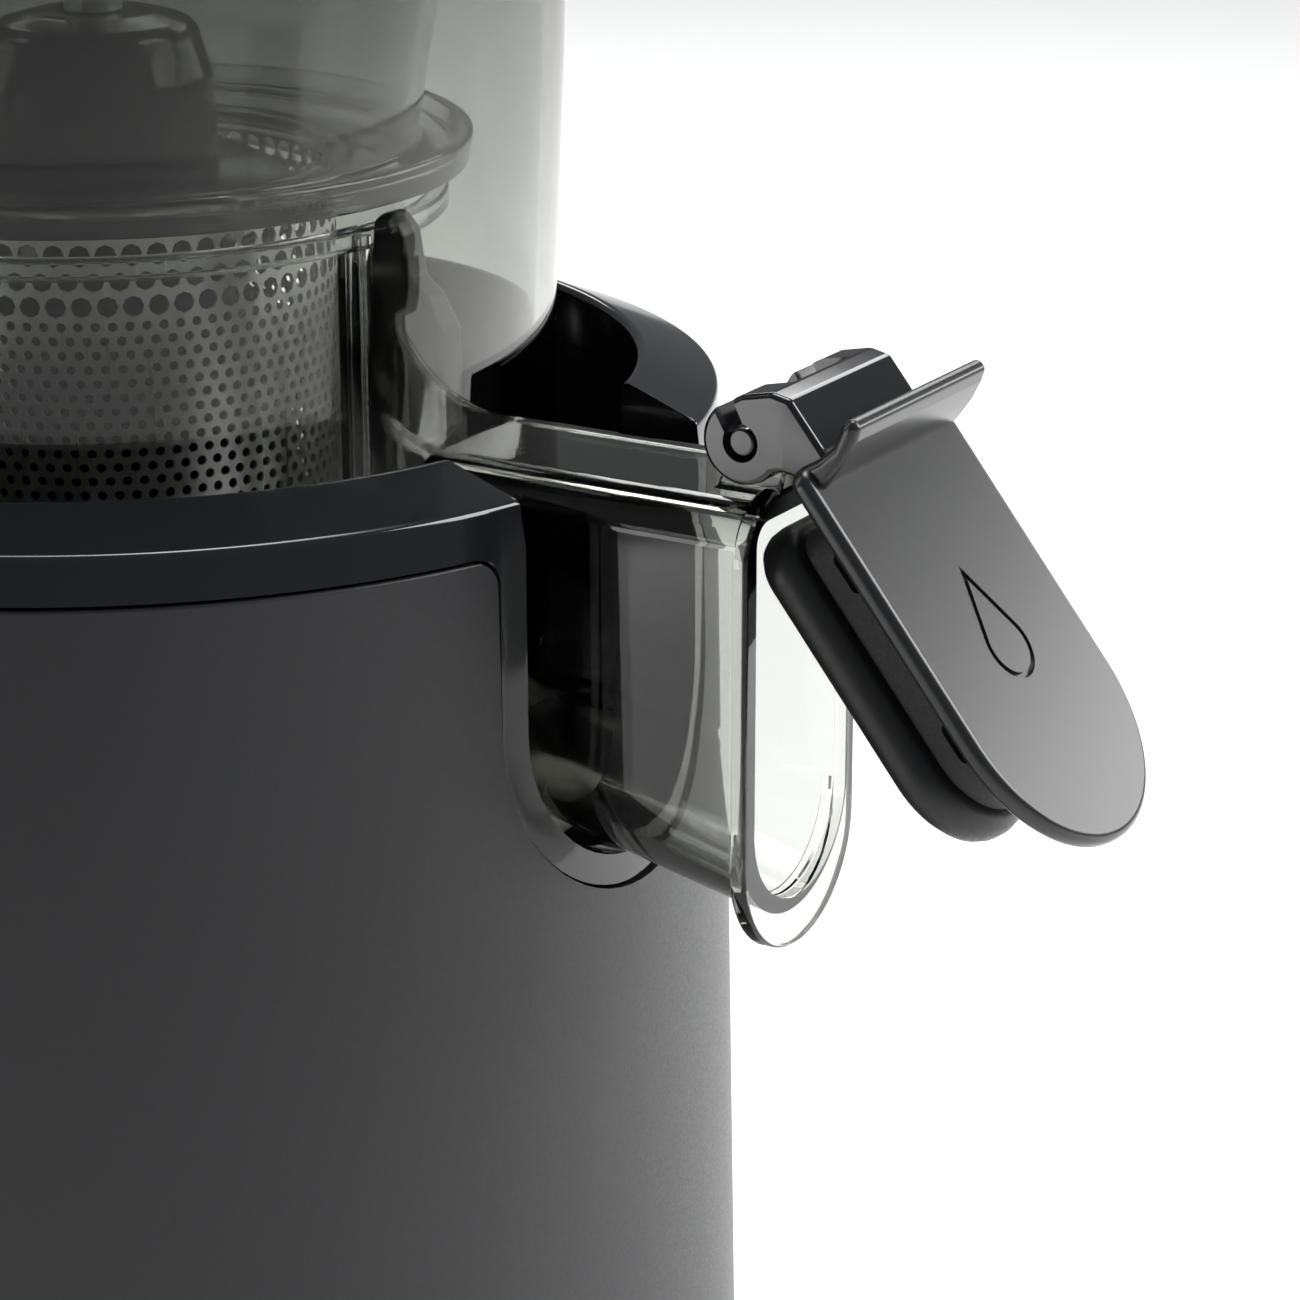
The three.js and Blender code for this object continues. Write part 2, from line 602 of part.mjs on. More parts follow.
piece("brush_idler", at(idler.rotate([0, 0, 180 / BRUSH_GEARS.idler]), IDLER_X, 0, 0), NYLON);
for (let i = 0; i < BRUSH.bars; i++) {
  const wiper = alongX(
    polygon([[50.4, 180], [57, 183], [60.6, 190], [60.6, 198], [57.5, 202], [60.8, 205], [60.8, 222],
      [57, 226], [55, 234], [52, 236.5], [50.4, 236.5]]),
    -1.6,
    1.6,
  ).rotate([0, 0, BRUSH.firstDeg - 90 + i * 120]);
  piece(`brush_wiper_${i + 1}`, wiper, SILICONE);
}

// Auger: a tapered core with a screw flight, driven by the hexagonal shaft
function flight(turns, low, high, inner, outer, thickness) {
  const steps = Math.round(turns * 14);
  const section = [[inner, 0], [outer, thickness * 0.35], [outer, thickness * 0.75], [inner, thickness]];
  const rows = Array.from({ length: steps + 1 }, (_, i) => {
    const share = i / steps;
    const angle = share * turns * 2 * Math.PI;
    const lift = low + share * (high - low - thickness);
    return section.map(([r, z]) => [r * Math.cos(angle), r * Math.sin(angle), lift + z]);
  });
  const triangles = [];
  const quad = (a, b, c, d) => [a, b, c, a, c, d].forEach((corner) => triangles.push(...corner));
  for (let i = 0; i < steps; i++) {
    section.forEach((_, k) => {
      const next = (k + 1) % section.length;
      quad(rows[i][k], rows[i][next], rows[i + 1][next], rows[i + 1][k]);
    });
  }
  quad(...[3, 2, 1, 0].map((k) => rows[0][k]));
  quad(...rows[steps]);
  const geometry = new THREE.BufferGeometry();
  geometry.setAttribute("position", new THREE.BufferAttribute(new Float32Array(triangles), 3));
  return solid(geometry);
}

function auger() {
  const foot = AUGER_FLOOR_Z + 0.6;
  const core = turned([
    [0, GEAR_Z + 4.4], [10, GEAR_Z + 4.4], [10, foot], [30.5, foot], [30.5, foot + 4.4], [25, foot + 8.4],
    [21, 205], [17, 230], [14, 246], [13, 254], [10, 259], [5, 261], [0, 261],
  ], 28);
  const pinion = spurGear(BRUSH_GEARS.pinion, BRUSH_GEARS.module, GEAR_Z, GEAR_Z + 4.5, 1);
  const screw = flight(2.4, AUGER_FLOOR_Z + 6, 250, 10, 31.2, 7);
  return cut(join(core, pinion, screw), hexBar(SHAFT.hexR + 0.5, GEAR_Z - 2, 207.5));
}
piece("auger", auger(), AUGER_BLACK);
piece("auger_pin", disc(4, 261.3, 291, 20), STEEL);

// Spout cap, modelled shut and then turned open about its hinge
const cap = new THREE.Group();
cap.position.set(0, HINGE.y, HINGE.z);
cap.rotation.x = THREE.MathUtils.degToRad(-OPEN_DEG);
machine.add(cap);
const shut = (shape) => shape.translate([0, -HINGE.y, -HINGE.z]);

function capPlate() {
  const bottomZ = CAP.topZ - CAP.length;
  const plate = alongY(
    slotShape(CAP.half, bottomZ + CAP.half, CAP.topZ, 1.5),
    -CAP.faceY,
    -CAP.faceY + CAP.thick,
    10,
  );
  const lip = alongX(
    polygon([[-CAP.faceY + 1, CAP.topZ], [-CAP.faceY - 4, CAP.topZ - 0.4], [-CAP.faceY - 8, CAP.topZ + 1.4],
      [-CAP.faceY - 9.2, CAP.topZ + 0.8], [-CAP.faceY - 8.4, CAP.topZ - 1.2], [-CAP.faceY - 4, CAP.topZ - 3],
      [-CAP.faceY + 1, CAP.topZ - 3.4]]),
    -CAP.lipHalf,
    CAP.lipHalf,
  );
  const arm = alongX(
    polygon([[HINGE.y, HINGE.z + HINGE.barrelR], [HINGE.y - 4, HINGE.z + 5], [HINGE.y - 8, HINGE.z + 3],
      [HINGE.y - 9.8, HINGE.z + 0.8], [-CAP.faceY - 0.8, CAP.topZ - 0.5], [-CAP.faceY + 2.5, CAP.topZ - 3],
      [HINGE.y - 2.6, HINGE.z - 6.2], [HINGE.y, HINGE.z - 5]]),
    -HINGE.half,
    HINGE.half,
  );
  const barrel = disc(HINGE.barrelR, -HINGE.half, HINGE.half, 28).rotate([0, 90, 0])
    .translate([0, HINGE.y, HINGE.z]);
  const pinHole = disc(HINGE.pinR + 0.5, -30, 30, 20).rotate([0, 90, 0]).translate([0, HINGE.y, HINGE.z]);
  const snapSlot = block(0, HINGE.y - 3, HINGE.z, 40, 8, 2.6).translate([0, -HINGE.y, -HINGE.z])
    .rotate([OPEN_DEG + 62, 0, 0])
    .translate([0, HINGE.y, HINGE.z]);
  const lugRoom = disc(8.4, -7.6, 7.6, 24).rotate([0, 90, 0]).translate([0, HINGE.y, HINGE.z]);
  return cut(join(plate, lip, arm, barrel), pinHole, snapSlot, lugRoom);
}

function capPlug() {
  const back = -CAP.faceY + CAP.thick + GAP;
  const body = alongY(slotShape(9.6, 165.5, SEAM_Z + 1.5, 4), back, back + 14.6, 8);
  const window = block(0, back + 5.6, 181, 40, 3.4, 22);
  return body.subtract(window);
}

function capSeal() {
  const back = -CAP.faceY + CAP.thick + GAP;
  const outer = (grow, from, to) =>
    alongY(slotShape(9.9 + grow, 165.5, SEAM_Z + 1.8 + grow, 4 + grow), from, to, 7);
  const sleeve = outer(1, back + 8, back + 14);
  const lip = outer(1.9, back + 10.4, back + 13.4);
  return cut(join(sleeve, lip), outer(0, back - 1, back + 20));
}
piece("cap_plate", shut(capPlate()), GLOSS_BLACK, cap);
piece("cap_plug", shut(capPlug()), RUBBER, cap);
piece("cap_seal", shut(capSeal()), SILICONE, cap);

// Hopper and pusher
const CHUTE_R = 44;
function hopper() {
  const skirt = BOWL_TOP_R + 0.5;
  return turned([
    [skirt, BOWL_TOP_Z - 6],
    [skirt + 3, BOWL_TOP_Z - 6],
    [skirt + 3, BOWL_TOP_Z + 5],
    [skirt, BOWL_TOP_Z + 9],
    [CHUTE_R + 8, BOWL_TOP_Z + 15],
    [CHUTE_R + 2.6, BOWL_TOP_Z + 22],
    [CHUTE_R + 2.2, HOPPER_TOP_Z - 16],
    [CHUTE_R + 8, HOPPER_TOP_Z - 4],
    [CHUTE_R + 8.4, HOPPER_TOP_Z],
    [CHUTE_R + 6, HOPPER_TOP_Z],
    [CHUTE_R, HOPPER_TOP_Z - 14],
    [CHUTE_R, BOWL_TOP_Z + 21],
    [CHUTE_R + 6, BOWL_TOP_Z + 12.5],
    [skirt - 2, BOWL_TOP_Z + 6],
    [skirt, BOWL_TOP_Z + 3],
  ]);
}
function augerBridge() {
  const hub = ring(4 + GAP, 9, 280, 292, SMALL);
  const arms = [0, 60, 120].map((turn) =>
    cut(block(0, 0, 289, 107, 5, 4), disc(8, 270, 300)).rotate([0, 0, turn]),
  );
  return join(hub, ...arms);
}
function pusher() {
  return turned([
    [0, 318], [CHUTE_R - 3, 318], [CHUTE_R - 1.4, 320], [CHUTE_R - 1, HOPPER_TOP_Z - 16],
    [CHUTE_R + 3.4, HOPPER_TOP_Z - 4], [CHUTE_R + 4, HOPPER_TOP_Z + 6], [CHUTE_R, HOPPER_TOP_Z + 11],
    [CHUTE_R - 10, HOPPER_TOP_Z + 13], [CHUTE_R - 18, HOPPER_TOP_Z + 9], [CHUTE_R - 19, 340], [0, 336],
  ], 36);
}
function pusherKnob() {
  return turned([
    [0, 337], [20, 340.4], [20, HOPPER_TOP_Z + 16], [24, HOPPER_TOP_Z + 24], [21, HOPPER_TOP_Z + 29],
    [0, HOPPER_TOP_Z + 30],
  ], 28);
}
piece("hopper", hopper(), SMOKE_CLEAR);
piece("auger_bridge", augerBridge(), GLOSS_BLACK);
piece("pusher", pusher(), MATTE_BLACK);
piece("pusher_knob", pusherKnob(), GLOSS_BLACK);

export default part;
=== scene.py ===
import json
import math

import bmesh
import bpy
from mathutils import Matrix, Vector


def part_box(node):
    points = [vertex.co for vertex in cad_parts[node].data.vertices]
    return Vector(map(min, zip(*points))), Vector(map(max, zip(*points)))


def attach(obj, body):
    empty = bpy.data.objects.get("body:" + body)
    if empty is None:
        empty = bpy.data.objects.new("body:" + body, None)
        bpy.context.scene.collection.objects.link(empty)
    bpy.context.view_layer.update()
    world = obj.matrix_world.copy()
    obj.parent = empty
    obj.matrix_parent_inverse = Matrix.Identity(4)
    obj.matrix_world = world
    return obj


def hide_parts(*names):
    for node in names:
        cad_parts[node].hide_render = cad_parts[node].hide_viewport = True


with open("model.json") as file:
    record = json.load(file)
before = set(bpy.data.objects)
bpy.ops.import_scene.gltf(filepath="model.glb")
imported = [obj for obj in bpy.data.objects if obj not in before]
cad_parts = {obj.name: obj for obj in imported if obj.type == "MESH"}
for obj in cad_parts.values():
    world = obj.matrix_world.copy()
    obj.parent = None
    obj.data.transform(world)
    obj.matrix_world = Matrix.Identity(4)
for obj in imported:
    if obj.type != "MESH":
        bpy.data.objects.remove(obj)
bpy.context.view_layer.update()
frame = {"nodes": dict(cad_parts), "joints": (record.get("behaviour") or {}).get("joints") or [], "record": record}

# Sizes are in millimetres about the bowl's axis, with the juice spout towards -Y, and are turned
# into metres as each mesh is made. Places that other pieces depend on come from the frame.
MM = 0.001


def box_mm(node):
    """The lowest and highest corner of a CAD node, in millimetres about the bowl's axis."""
    low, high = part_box(node)
    centre = Vector((0, AXIS_Y, 0))
    return (low - centre) / MM, (high - centre) / MM


pusher_low, pusher_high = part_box("pusher")
AXIS_Y = (pusher_low.y + pusher_high.y) / 2
SEAM_Z = box_mm("housing")[1].z
BOWL_TOP_Z = box_mm("bowl")[1].z
HOPPER_TOP_Z = box_mm("hopper")[1].z
AUGER_FLOOR_Z = box_mm("auger")[0].z + 7
BRUSH_LOW_Z = box_mm("brush_frame")[0].z
BRUSH_HIGH_Z = box_mm("brush_frame")[1].z
CAP_JOINT = next(joint for joint in frame["joints"] if joint["name"] == "cap_hinge")
HINGE_Y = (CAP_JOINT["pos_m"][1] - AXIS_Y) / MM
HINGE_Z = CAP_JOINT["pos_m"][2] / MM
CAP_OPEN = math.radians(38.4)  # how far the cap stands open at rest

HOUSING = {"top_r": 89.5, "foot_r": 93, "wall": 3, "bottom_z": 6}
RIDGE = (88.7, SEAM_Z + 6.7)
WELL_R = 76.8
FRONT_NOTCH = {"half": 23, "trim": 4.3, "centre_z": SEAM_Z - 25.5, "side": -1}
REAR_NOTCH = {"half": 19, "trim": 4.3, "centre_z": SEAM_Z - 20, "side": 1}
SEAM_CORNER = 4  # radius of the seam's corner beside a notch
SEAM_GAP = 0.5
BOWL_R = 65
SPOUT = {
    "half": 15,
    "wall": 2.3,
    "top_z": SEAM_Z + 7.6,
    "root_z": SEAM_Z - 25.5,
    "mouth_z": SEAM_Z - 37.7,
}
FLANGE = {"half": 15.4, "top_z": SEAM_Z + 8.8, "bottom_z": SEAM_Z - 57.5, "front_y": -115.5}
CAP = {"half": 20, "length": 61.5, "thick": 3, "face": 9.3, "top": 7.5}
BRUSH_RING_R = (47, 50)  # inner and outer
BRUSH_HUB_R = 26.4
BRUSH_FIRST_ANGLE = -93  # degrees from +X to the first wiper
SCREEN_R = 33.4
SCREEN_TOP_Z = SEAM_Z + 39.3
CHUTE_R = 44


# ---- Mesh tools ----


def link(name, mesh):
    obj = bpy.data.objects.new(name, mesh)
    bpy.context.scene.collection.objects.link(obj)
    return obj


def tidy(mesh):
    """Merges doubled points, drops flat faces and turns every face outwards."""
    work = bmesh.new()
    work.from_mesh(mesh)
    bmesh.ops.remove_doubles(work, verts=work.verts, dist=2e-6)
    bmesh.ops.dissolve_degenerate(work, edges=work.edges, dist=1e-6)
    bmesh.ops.recalc_face_normals(work, faces=work.faces)
    work.to_mesh(mesh)
    work.free()


def made(name, points, faces):
    """A mesh object from points in millimetres about the bowl's axis."""
    mesh = bpy.data.meshes.new(name)
    mesh.from_pydata([(x * MM, y * MM + AXIS_Y, z * MM) for x, y, z in points], [], faces)
    tidy(mesh)
    return link(name, mesh)


def settle(obj):
    """Applies every modifier to the object's own mesh."""
    graph = bpy.context.evaluated_depsgraph_get()
    obj.data = bpy.data.meshes.new_from_object(obj.evaluated_get(graph))
    obj.modifiers.clear()
    return obj


def boolean(body, tool, operation):
    modifier = body.modifiers.new("boolean", "BOOLEAN")
    modifier.object = tool
    modifier.operation = operation
    modifier.solver = "EXACT"
    settle(body)
    bpy.data.objects.remove(tool)
    return body


def cut(body, *tools):
    for tool in tools:
        boolean(body, tool, "DIFFERENCE")
    return body


def join(body, *others):
    for other in others:
        boolean(body, other, "UNION")
    return body


def soften(obj, width, segments=3, angle=38):
    """Rounds every edge sharper than the angle."""
    modifier = obj.modifiers.new("soften", "BEVEL")
    modifier.width = width * MM
    modifier.segments = segments
    modifier.limit_method = "ANGLE"
    modifier.angle_limit = math.radians(angle)
    return settle(obj)


def filleted(corners, steps=6):
    """A closed outline of (a, b) or (a, b, radius) corners, with each radius as an arc."""
    points = []
    count = len(corners)
    for i, corner in enumerate(corners):
        radius = corner[2] if len(corner) > 2 else 0
        if not radius:
            points.append(tuple(corner[:2]))
            continue
        middle = Vector(corner[:2])
        before = Vector(corners[i - 1][:2]) - middle
        after = Vector(corners[(i + 1) % count][:2]) - middle
        half = before.angle(after) / 2
        reach = min(radius / math.tan(half), 0.49 * before.length, 0.49 * after.length)
        before.normalize()
        after.normalize()
        radius = reach * math.tan(half)
        centre = middle + (before + after).normalized() * (radius / math.sin(half))
        first = middle + before * reach - centre
        last = middle + after * reach - centre
        begin = math.atan2(first.y, first.x)
        sweep = (math.atan2(last.y, last.x) - begin + math.pi) % (2 * math.pi) - math.pi
        for k in range(steps + 1):
            angle = begin + sweep * k / steps
            points.append((centre.x + radius * math.cos(angle), centre.y + radius * math.sin(angle)))
    return points


def arc(a, b, radius, begin, end, steps):
    """Points of an arc, from one angle in degrees to another."""
    angles = [math.radians(begin + (end - begin) * k / steps) for k in range(steps + 1)]
    return [(a + radius * math.cos(t), b + radius * math.sin(t)) for t in angles]


def turned(name, profile, segments=192):
    """A closed profile of (radius, height, corner radius) turned about the bowl's axis."""
    outline = filleted(profile)
    points = []
    for i in range(segments):
        angle = 2 * math.pi * i / segments
        points += [(r * math.cos(angle), r * math.sin(angle), z) for r, z in outline]
    count = len(outline)
    faces = []
    for i in range(segments):
        here, there = i * count, (i + 1) % segments * count
        for k in range(count):
            n = (k + 1) % count
            faces.append((here + k, there + k, there + n, here + n))
    return made(name, points, faces)


def inset(outline, distance):
    """A closed outline moved inwards by the distance."""
    count = len(outline)
    area = sum(
        outline[i][0] * outline[(i + 1) % count][1] - outline[(i + 1) % count][0] * outline[i][1]
        for i in range(count)
    )
    turn = 1 if area > 0 else -1
    moved = []
    for i in range(count):
        here = Vector(outline[i])
        before = (here - Vector(outline[i - 1])).normalized()
        after = (Vector(outline[(i + 1) % count]) - here).normalized()
        first = Vector((-before.y, before.x)) * turn
        second = Vector((-after.y, after.x)) * turn
        mitre = (first + second) / max(0.3, 1 + first.dot(second))
        moved.append(tuple(here + mitre * distance))
    return moved


def along_y(a, b, depth):
    return (a, depth, b)


def along_x(a, b, depth):
    return (depth, a, b)


def along_z(a, b, depth):
    return (a, b, depth)


def stack_faces(count, layers):
    """The faces of a stack of outlines with equal counts of points: its sides and both its ends."""
    total = count * layers
    faces = [tuple(range(count)), tuple(range(total - 1, total - count - 1, -1))]
    for layer in range(layers - 1):
        for i in range(count):
            n = (i + 1) % count
            faces.append(
                (layer * count + i, (layer + 1) * count + i, (layer + 1) * count + n, layer * count + n)
            )
    return faces


def slab(name, outline, low, high, place, edge=0.0, steps=3):
    """An outline given depth between low and high, with its outer edges rounded."""
    layers = []
    if edge:
        for k in range(steps + 1):
            t = math.pi / 2 * k / steps
            layers.append((low + edge * (1 - math.cos(t)), edge * (1 - math.sin(t))))
        layers += [(high - (depth - low), shrink) for depth, shrink in reversed(layers)]
    else:
        layers = [(low, 0), (high, 0)]
    points = []
    for depth, shrink in layers:
        points += [place(a, b, depth) for a, b in (inset(outline, shrink) if shrink else outline)]
    return made(name, points, stack_faces(len(outline), len(layers)))


def slot_outline(half, centre_z, top_z, corner=0, steps=28):
    """An upright slot with a round foot, as (x, z) points."""
    points = arc(0, centre_z, half, 180, 360, steps)
    if corner:
        points += arc(half - corner, top_z - corner, corner, 0, 90, 8)
        points += arc(-half + corner, top_z - corner, corner, 90, 180, 8)
    else:
        points += [(half, top_z), (-half, top_z)]
    return points


def turn_about_hinge(obj, angle):
    """Turns a piece modelled with the cap shut about the cap's hinge."""
    pivot = Vector((0, HINGE_Y * MM + AXIS_Y, HINGE_Z * MM))
    turn = Matrix.Translation(pivot) @ Matrix.Rotation(angle, 4, "X") @ Matrix.Translation(-pivot)
    obj.data.transform(turn)
    return obj


def opened(obj):
    return turn_about_hinge(obj, -CAP_OPEN)


# ---- Materials ----


class Shader:
    """A Principled material, with the places of its pattern taken from the piece itself."""

    def __init__(self, name, colour, roughness, metallic=0.0):
        self.material = bpy.data.materials.new(name)
        self.material.use_nodes = True
        self.tree = self.material.node_tree
        self.principled = self.tree.nodes["Principled BSDF"]
        self.set("Base Color", (*colour, 1))
        self.set("Roughness", roughness)
        self.set("Metallic", metallic)
        self.place = self.tree.nodes.new("ShaderNodeTexCoord").outputs["Object"]

    def set(self, socket, value):
        self.principled.inputs[socket].default_value = value

    def node(self, kind, **inputs):
        node = self.tree.nodes.new(kind)
        for socket, value in inputs.items():
            node.inputs[socket.replace("_", " ")].default_value = value
        return node

    def stretched(self, scale):
        mapping = self.node("ShaderNodeMapping", Scale=scale)
        self.tree.links.new(self.place, mapping.inputs["Vector"])
        return mapping.outputs["Vector"]

    def noise(self, scale, detail=2.0, place=None):
        noise = self.node("ShaderNodeTexNoise", Scale=scale, Detail=detail)
        self.tree.links.new(place or self.place, noise.inputs["Vector"])
        return noise.outputs["Fac"]

    def spread(self, value, low, high, socket):
        """Maps a pattern from 0.3..0.7 to low..high and feeds it to the shader."""
        ranged = self.node("ShaderNodeMapRange", From_Min=0.3, From_Max=0.7, To_Min=low, To_Max=high)
        self.tree.links.new(value, ranged.inputs["Value"])
        self.tree.links.new(ranged.outputs["Result"], self.principled.inputs[socket])
        return self

    def tint(self, value, dark, light):
        mix = self.node("ShaderNodeMix")
        mix.data_type = "RGBA"
        mix.inputs[6].default_value = (*dark, 1)
        mix.inputs[7].default_value = (*light, 1)
        self.tree.links.new(value, mix.inputs["Factor"])
        self.tree.links.new(mix.outputs[2], self.principled.inputs["Base Color"])
        return self

    def bump(self, value, depth, strength=1.0):
        bump = self.node("ShaderNodeBump", Strength=strength, Distance=depth * MM)
        self.tree.links.new(value, bump.inputs["Height"])
        self.tree.links.new(bump.outputs["Normal"], self.principled.inputs["Normal"])
        return self


def charcoal():
    look = Shader("matte_charcoal", (0.018, 0.019, 0.021), 0.42)
    fine = look.noise(2600, 3)
    look.tint(look.noise(900, 4), (0.015, 0.0155, 0.0175), (0.021, 0.0215, 0.024))
    look.spread(fine, 0.36, 0.5, "Roughness")
    return look.bump(fine, 0.05, 0.35).material


def polished_black(name="polished_black", roughness=0.1):
    look = Shader(name, (0.011, 0.0115, 0.013), roughness)
    look.set("Specular IOR Level", 0.6)
    look.spread(look.noise(60, 3), roughness * 0.8, roughness * 1.25, "Roughness")
    return look.bump(look.noise(35, 1), 0.03, 0.25).material


def satin_black():
    look = Shader("satin_black", (0.016, 0.0165, 0.018), 0.24)
    look.set("Specular IOR Level", 0.6)
    fine = look.noise(1800, 2)
    look.spread(fine, 0.25, 0.27, "Roughness")
    return look.bump(fine, 0.01, 0.01).material


def smoke(name, colour, density):
    """Clear smoke-grey plastic: it darkens with the length of plastic that the light crosses."""
    look = Shader(name, colour, 0.02)
    look.set("Transmission Weight", 1.0)
    look.set("IOR", 1.49)
    look.spread(look.noise(25, 2), 0.01, 0.03, "Roughness")
    tint = look.node("ShaderNodeVolumeAbsorption", Color=(0.05, 0.06, 0, 1), Density=density)
    output = look.tree.nodes["Material Output"]
    look.tree.links.new(tint.outputs["Volume"], output.inputs["Volume"])
    return look.bump(look.noise(30, 1), 0.03, 0.15).material


def silicone():
    look = Shader("silicone_black", (0.009, 0.0095, 0.011), 0.42)
    fine = look.noise(1500, 3)
    look.spread(fine, 0.36, 0.5, "Roughness")
    return look.bump(fine, 0.03, 0.3).material


def grained_rubber():
    look = Shader("grained_rubber", (0.013, 0.0135, 0.015), 0.62)
    grain = look.noise(3200, 3)
    look.tint(look.noise(1800, 2), (0.009, 0.0095, 0.011), (0.022, 0.022, 0.024))
    look.spread(grain, 0.5, 0.72, "Roughness")
    return look.bump(grain, 0.12, 0.7).material


def steel(name="screen_steel", colour=(0.86, 0.86, 0.83), roughness=0.36):
    look = Shader(name, colour, roughness, 0.8)
    brushed = look.noise(900, 3, look.stretched((1, 1, 0.03)))
    look.spread(brushed, roughness * 0.75, roughness * 1.3, "Roughness")
    return look.bump(brushed, 0.005, 0.05).material


def moulded(name, colour, roughness=0.45):
    look = Shader(name, colour, roughness)
    fine = look.noise(1400, 3)
    light = tuple(min(1, c * 1.12) for c in colour)
    look.tint(look.noise(300, 3), tuple(c * 0.9 for c in colour), light)
    look.spread(fine, roughness * 0.9, roughness * 1.15, "Roughness")
    return look.bump(fine, 0.03, 0.3).material


LOOKS = {
    "matte_charcoal": charcoal(),
    "gloss_black": polished_black(),
    "smoke_clear": smoke("smoke_clear", (0.71, 0.72, 0.695), 86),
    "silicone_black": silicone(),
    "rubber_black": grained_rubber(),
    "steel": steel(),
    "zinc": steel("zinc_plate", (0.5, 0.51, 0.53), 0.38),
    "nylon": moulded("nylon", (0.72, 0.7, 0.64)),
    "board": moulded("board_green", (0.03, 0.16, 0.07), 0.35),
    "auger_black": polished_black("auger_black", 0.16),
    "rotor_iron": moulded("rotor_iron", (0.3, 0.2, 0.14), 0.4),
}
SATIN_BLACK = satin_black()
GRAINED_RUBBER = LOOKS["rubber_black"]
CUP_SMOKE = smoke("cup_smoke", (0.6, 0.605, 0.61), 60)
BRUSH_CLEAR = smoke("brush_clear", (0.93, 0.935, 0.93), 12)


def finished(obj, body, slot, *stands_for, look=None, crease=32):
    """Gives a piece its finish and its body, and hides the CAD nodes it stands for."""
    obj.data.materials.clear()
    obj.data.materials.append(look or LOOKS[slot])
    obj.data.shade_smooth()
    obj.data.set_sharp_from_angle(angle=math.radians(crease))
    even = obj.modifiers.new("even", "WEIGHTED_NORMAL")
    even.keep_sharp = True
    settle(obj)
    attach(obj, body)
    if stands_for:
        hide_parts(*stands_for)
    return obj


def dress_cad_nodes():
    """Gives every CAD node that stays in view its own slot's material."""
    slots = {row["node"]: row["material_slot"] for row in frame["record"]["subparts"]}
    for name, obj in frame["nodes"].items():
        obj.data.materials.clear()
        obj.data.materials.append(LOOKS[slots[name]])


# ---- Camera, light and floor ----

CAMERA_PLACE = (-460.2, -366.0, SEAM_Z + 160)
CAMERA_HEADING = (0.8146, 0.4854, -0.3174)
AHEAD_X, AHEAD_Y = 0.859, 0.512  # the camera's heading in plan
LENS = 114.4


def camera():
    data = bpy.data.cameras.new("camera")
    data.lens = LENS
    data.clip_start, data.clip_end = 0.01, 50
    obj = link("camera", data)
    obj.location = Vector(CAMERA_PLACE) * MM + Vector((0, AXIS_Y, 0))
    obj.rotation_mode = "QUATERNION"
    obj.rotation_quaternion = Vector(CAMERA_HEADING).to_track_quat("-Z", "Y")
    bpy.context.scene.camera = obj


def lamp(name, place, aim, size, power, spread=180):
    """A soft area light of the given width and height, with places in metres about the bowl's axis."""
    data = bpy.data.lights.new(name, "AREA")
    data.shape = "RECTANGLE"
    data.size, data.size_y = size
    data.energy = power
    data.spread = math.radians(spread)
    obj = link(name, data)
    obj.location = Vector(place) + Vector((0, AXIS_Y, 0))
    obj.rotation_mode = "QUATERNION"
    obj.rotation_quaternion = (Vector(aim) - Vector(place)).to_track_quat("-Z", "Y")


def from_view(ahead, right, up):
    """A place in metres from the bowl's axis, given along the camera's heading and to its right."""
    return (AHEAD_X * ahead + AHEAD_Y * right, AHEAD_Y * ahead - AHEAD_X * right, up)


def studio():
    world = bpy.data.worlds.new("studio")
    bpy.context.scene.world = world
    world.use_nodes = True
    background = world.node_tree.nodes["Background"]
    background.inputs["Color"].default_value = (0.96, 0.98, 1, 1)
    background.inputs["Strength"].default_value = 0.16
    # The floor's light hangs beyond the part, so that the floor between it and the camera stays dim.
    lamp("floor_light", from_view(1.7, 0.3, 0.9), from_view(1.71, 0.3, 0), (3.9, 3.6), 29, 60)
    lamp("right_box", from_view(0.3, 0.85, 0.38), (0, 0, 0.1), (0.9, 0.14), 2.6)
    lamp("right_top_box", from_view(-0.1, 1.0, 0.8), (0, 0, 0.15), (0.6, 0.6), 11)
    lamp("spout_card", from_view(-0.3, -0.55, 0.09), (0, -0.09, 0.17), (0.3, 0.16), 0.5)
    lamp("back_box", from_view(1.1, 0.2, 0.95), (0, 0, 0.2), (1.4, 0.3), 7)
    lamp("left_strip", from_view(0.1, -0.8, 0.6), (0, 0, 0.22), (0.35, 0.8), 3.2)
    lamp("top_box", from_view(0.1, 0.1, 1.1), (0, 0, 0.2), (0.4, 0.4), 2.5)
    floor_mesh = bpy.data.meshes.new("floor")
    floor_mesh.from_pydata([(-6, -6, 0), (6, -6, 0), (6, 6, 0), (-6, 6, 0)], [], [(0, 1, 2, 3)])
    floor = link("floor", floor_mesh)
    look = Shader("floor_pale", (0.93, 0.93, 0.93), 0.7)
    look.spread(look.noise(3, 2), 0.65, 0.75, "Roughness")
    floor.data.materials.append(look.material)
    view = bpy.context.scene.view_settings
    view.view_transform = "Standard"
    view.look = "None"


# ---- Motor base ----


def housing_r(z):
    share = (z - HOUSING["bottom_z"]) / (SEAM_Z - HOUSING["bottom_z"])
    return HOUSING["foot_r"] + (HOUSING["top_r"] - HOUSING["foot_r"]) * share


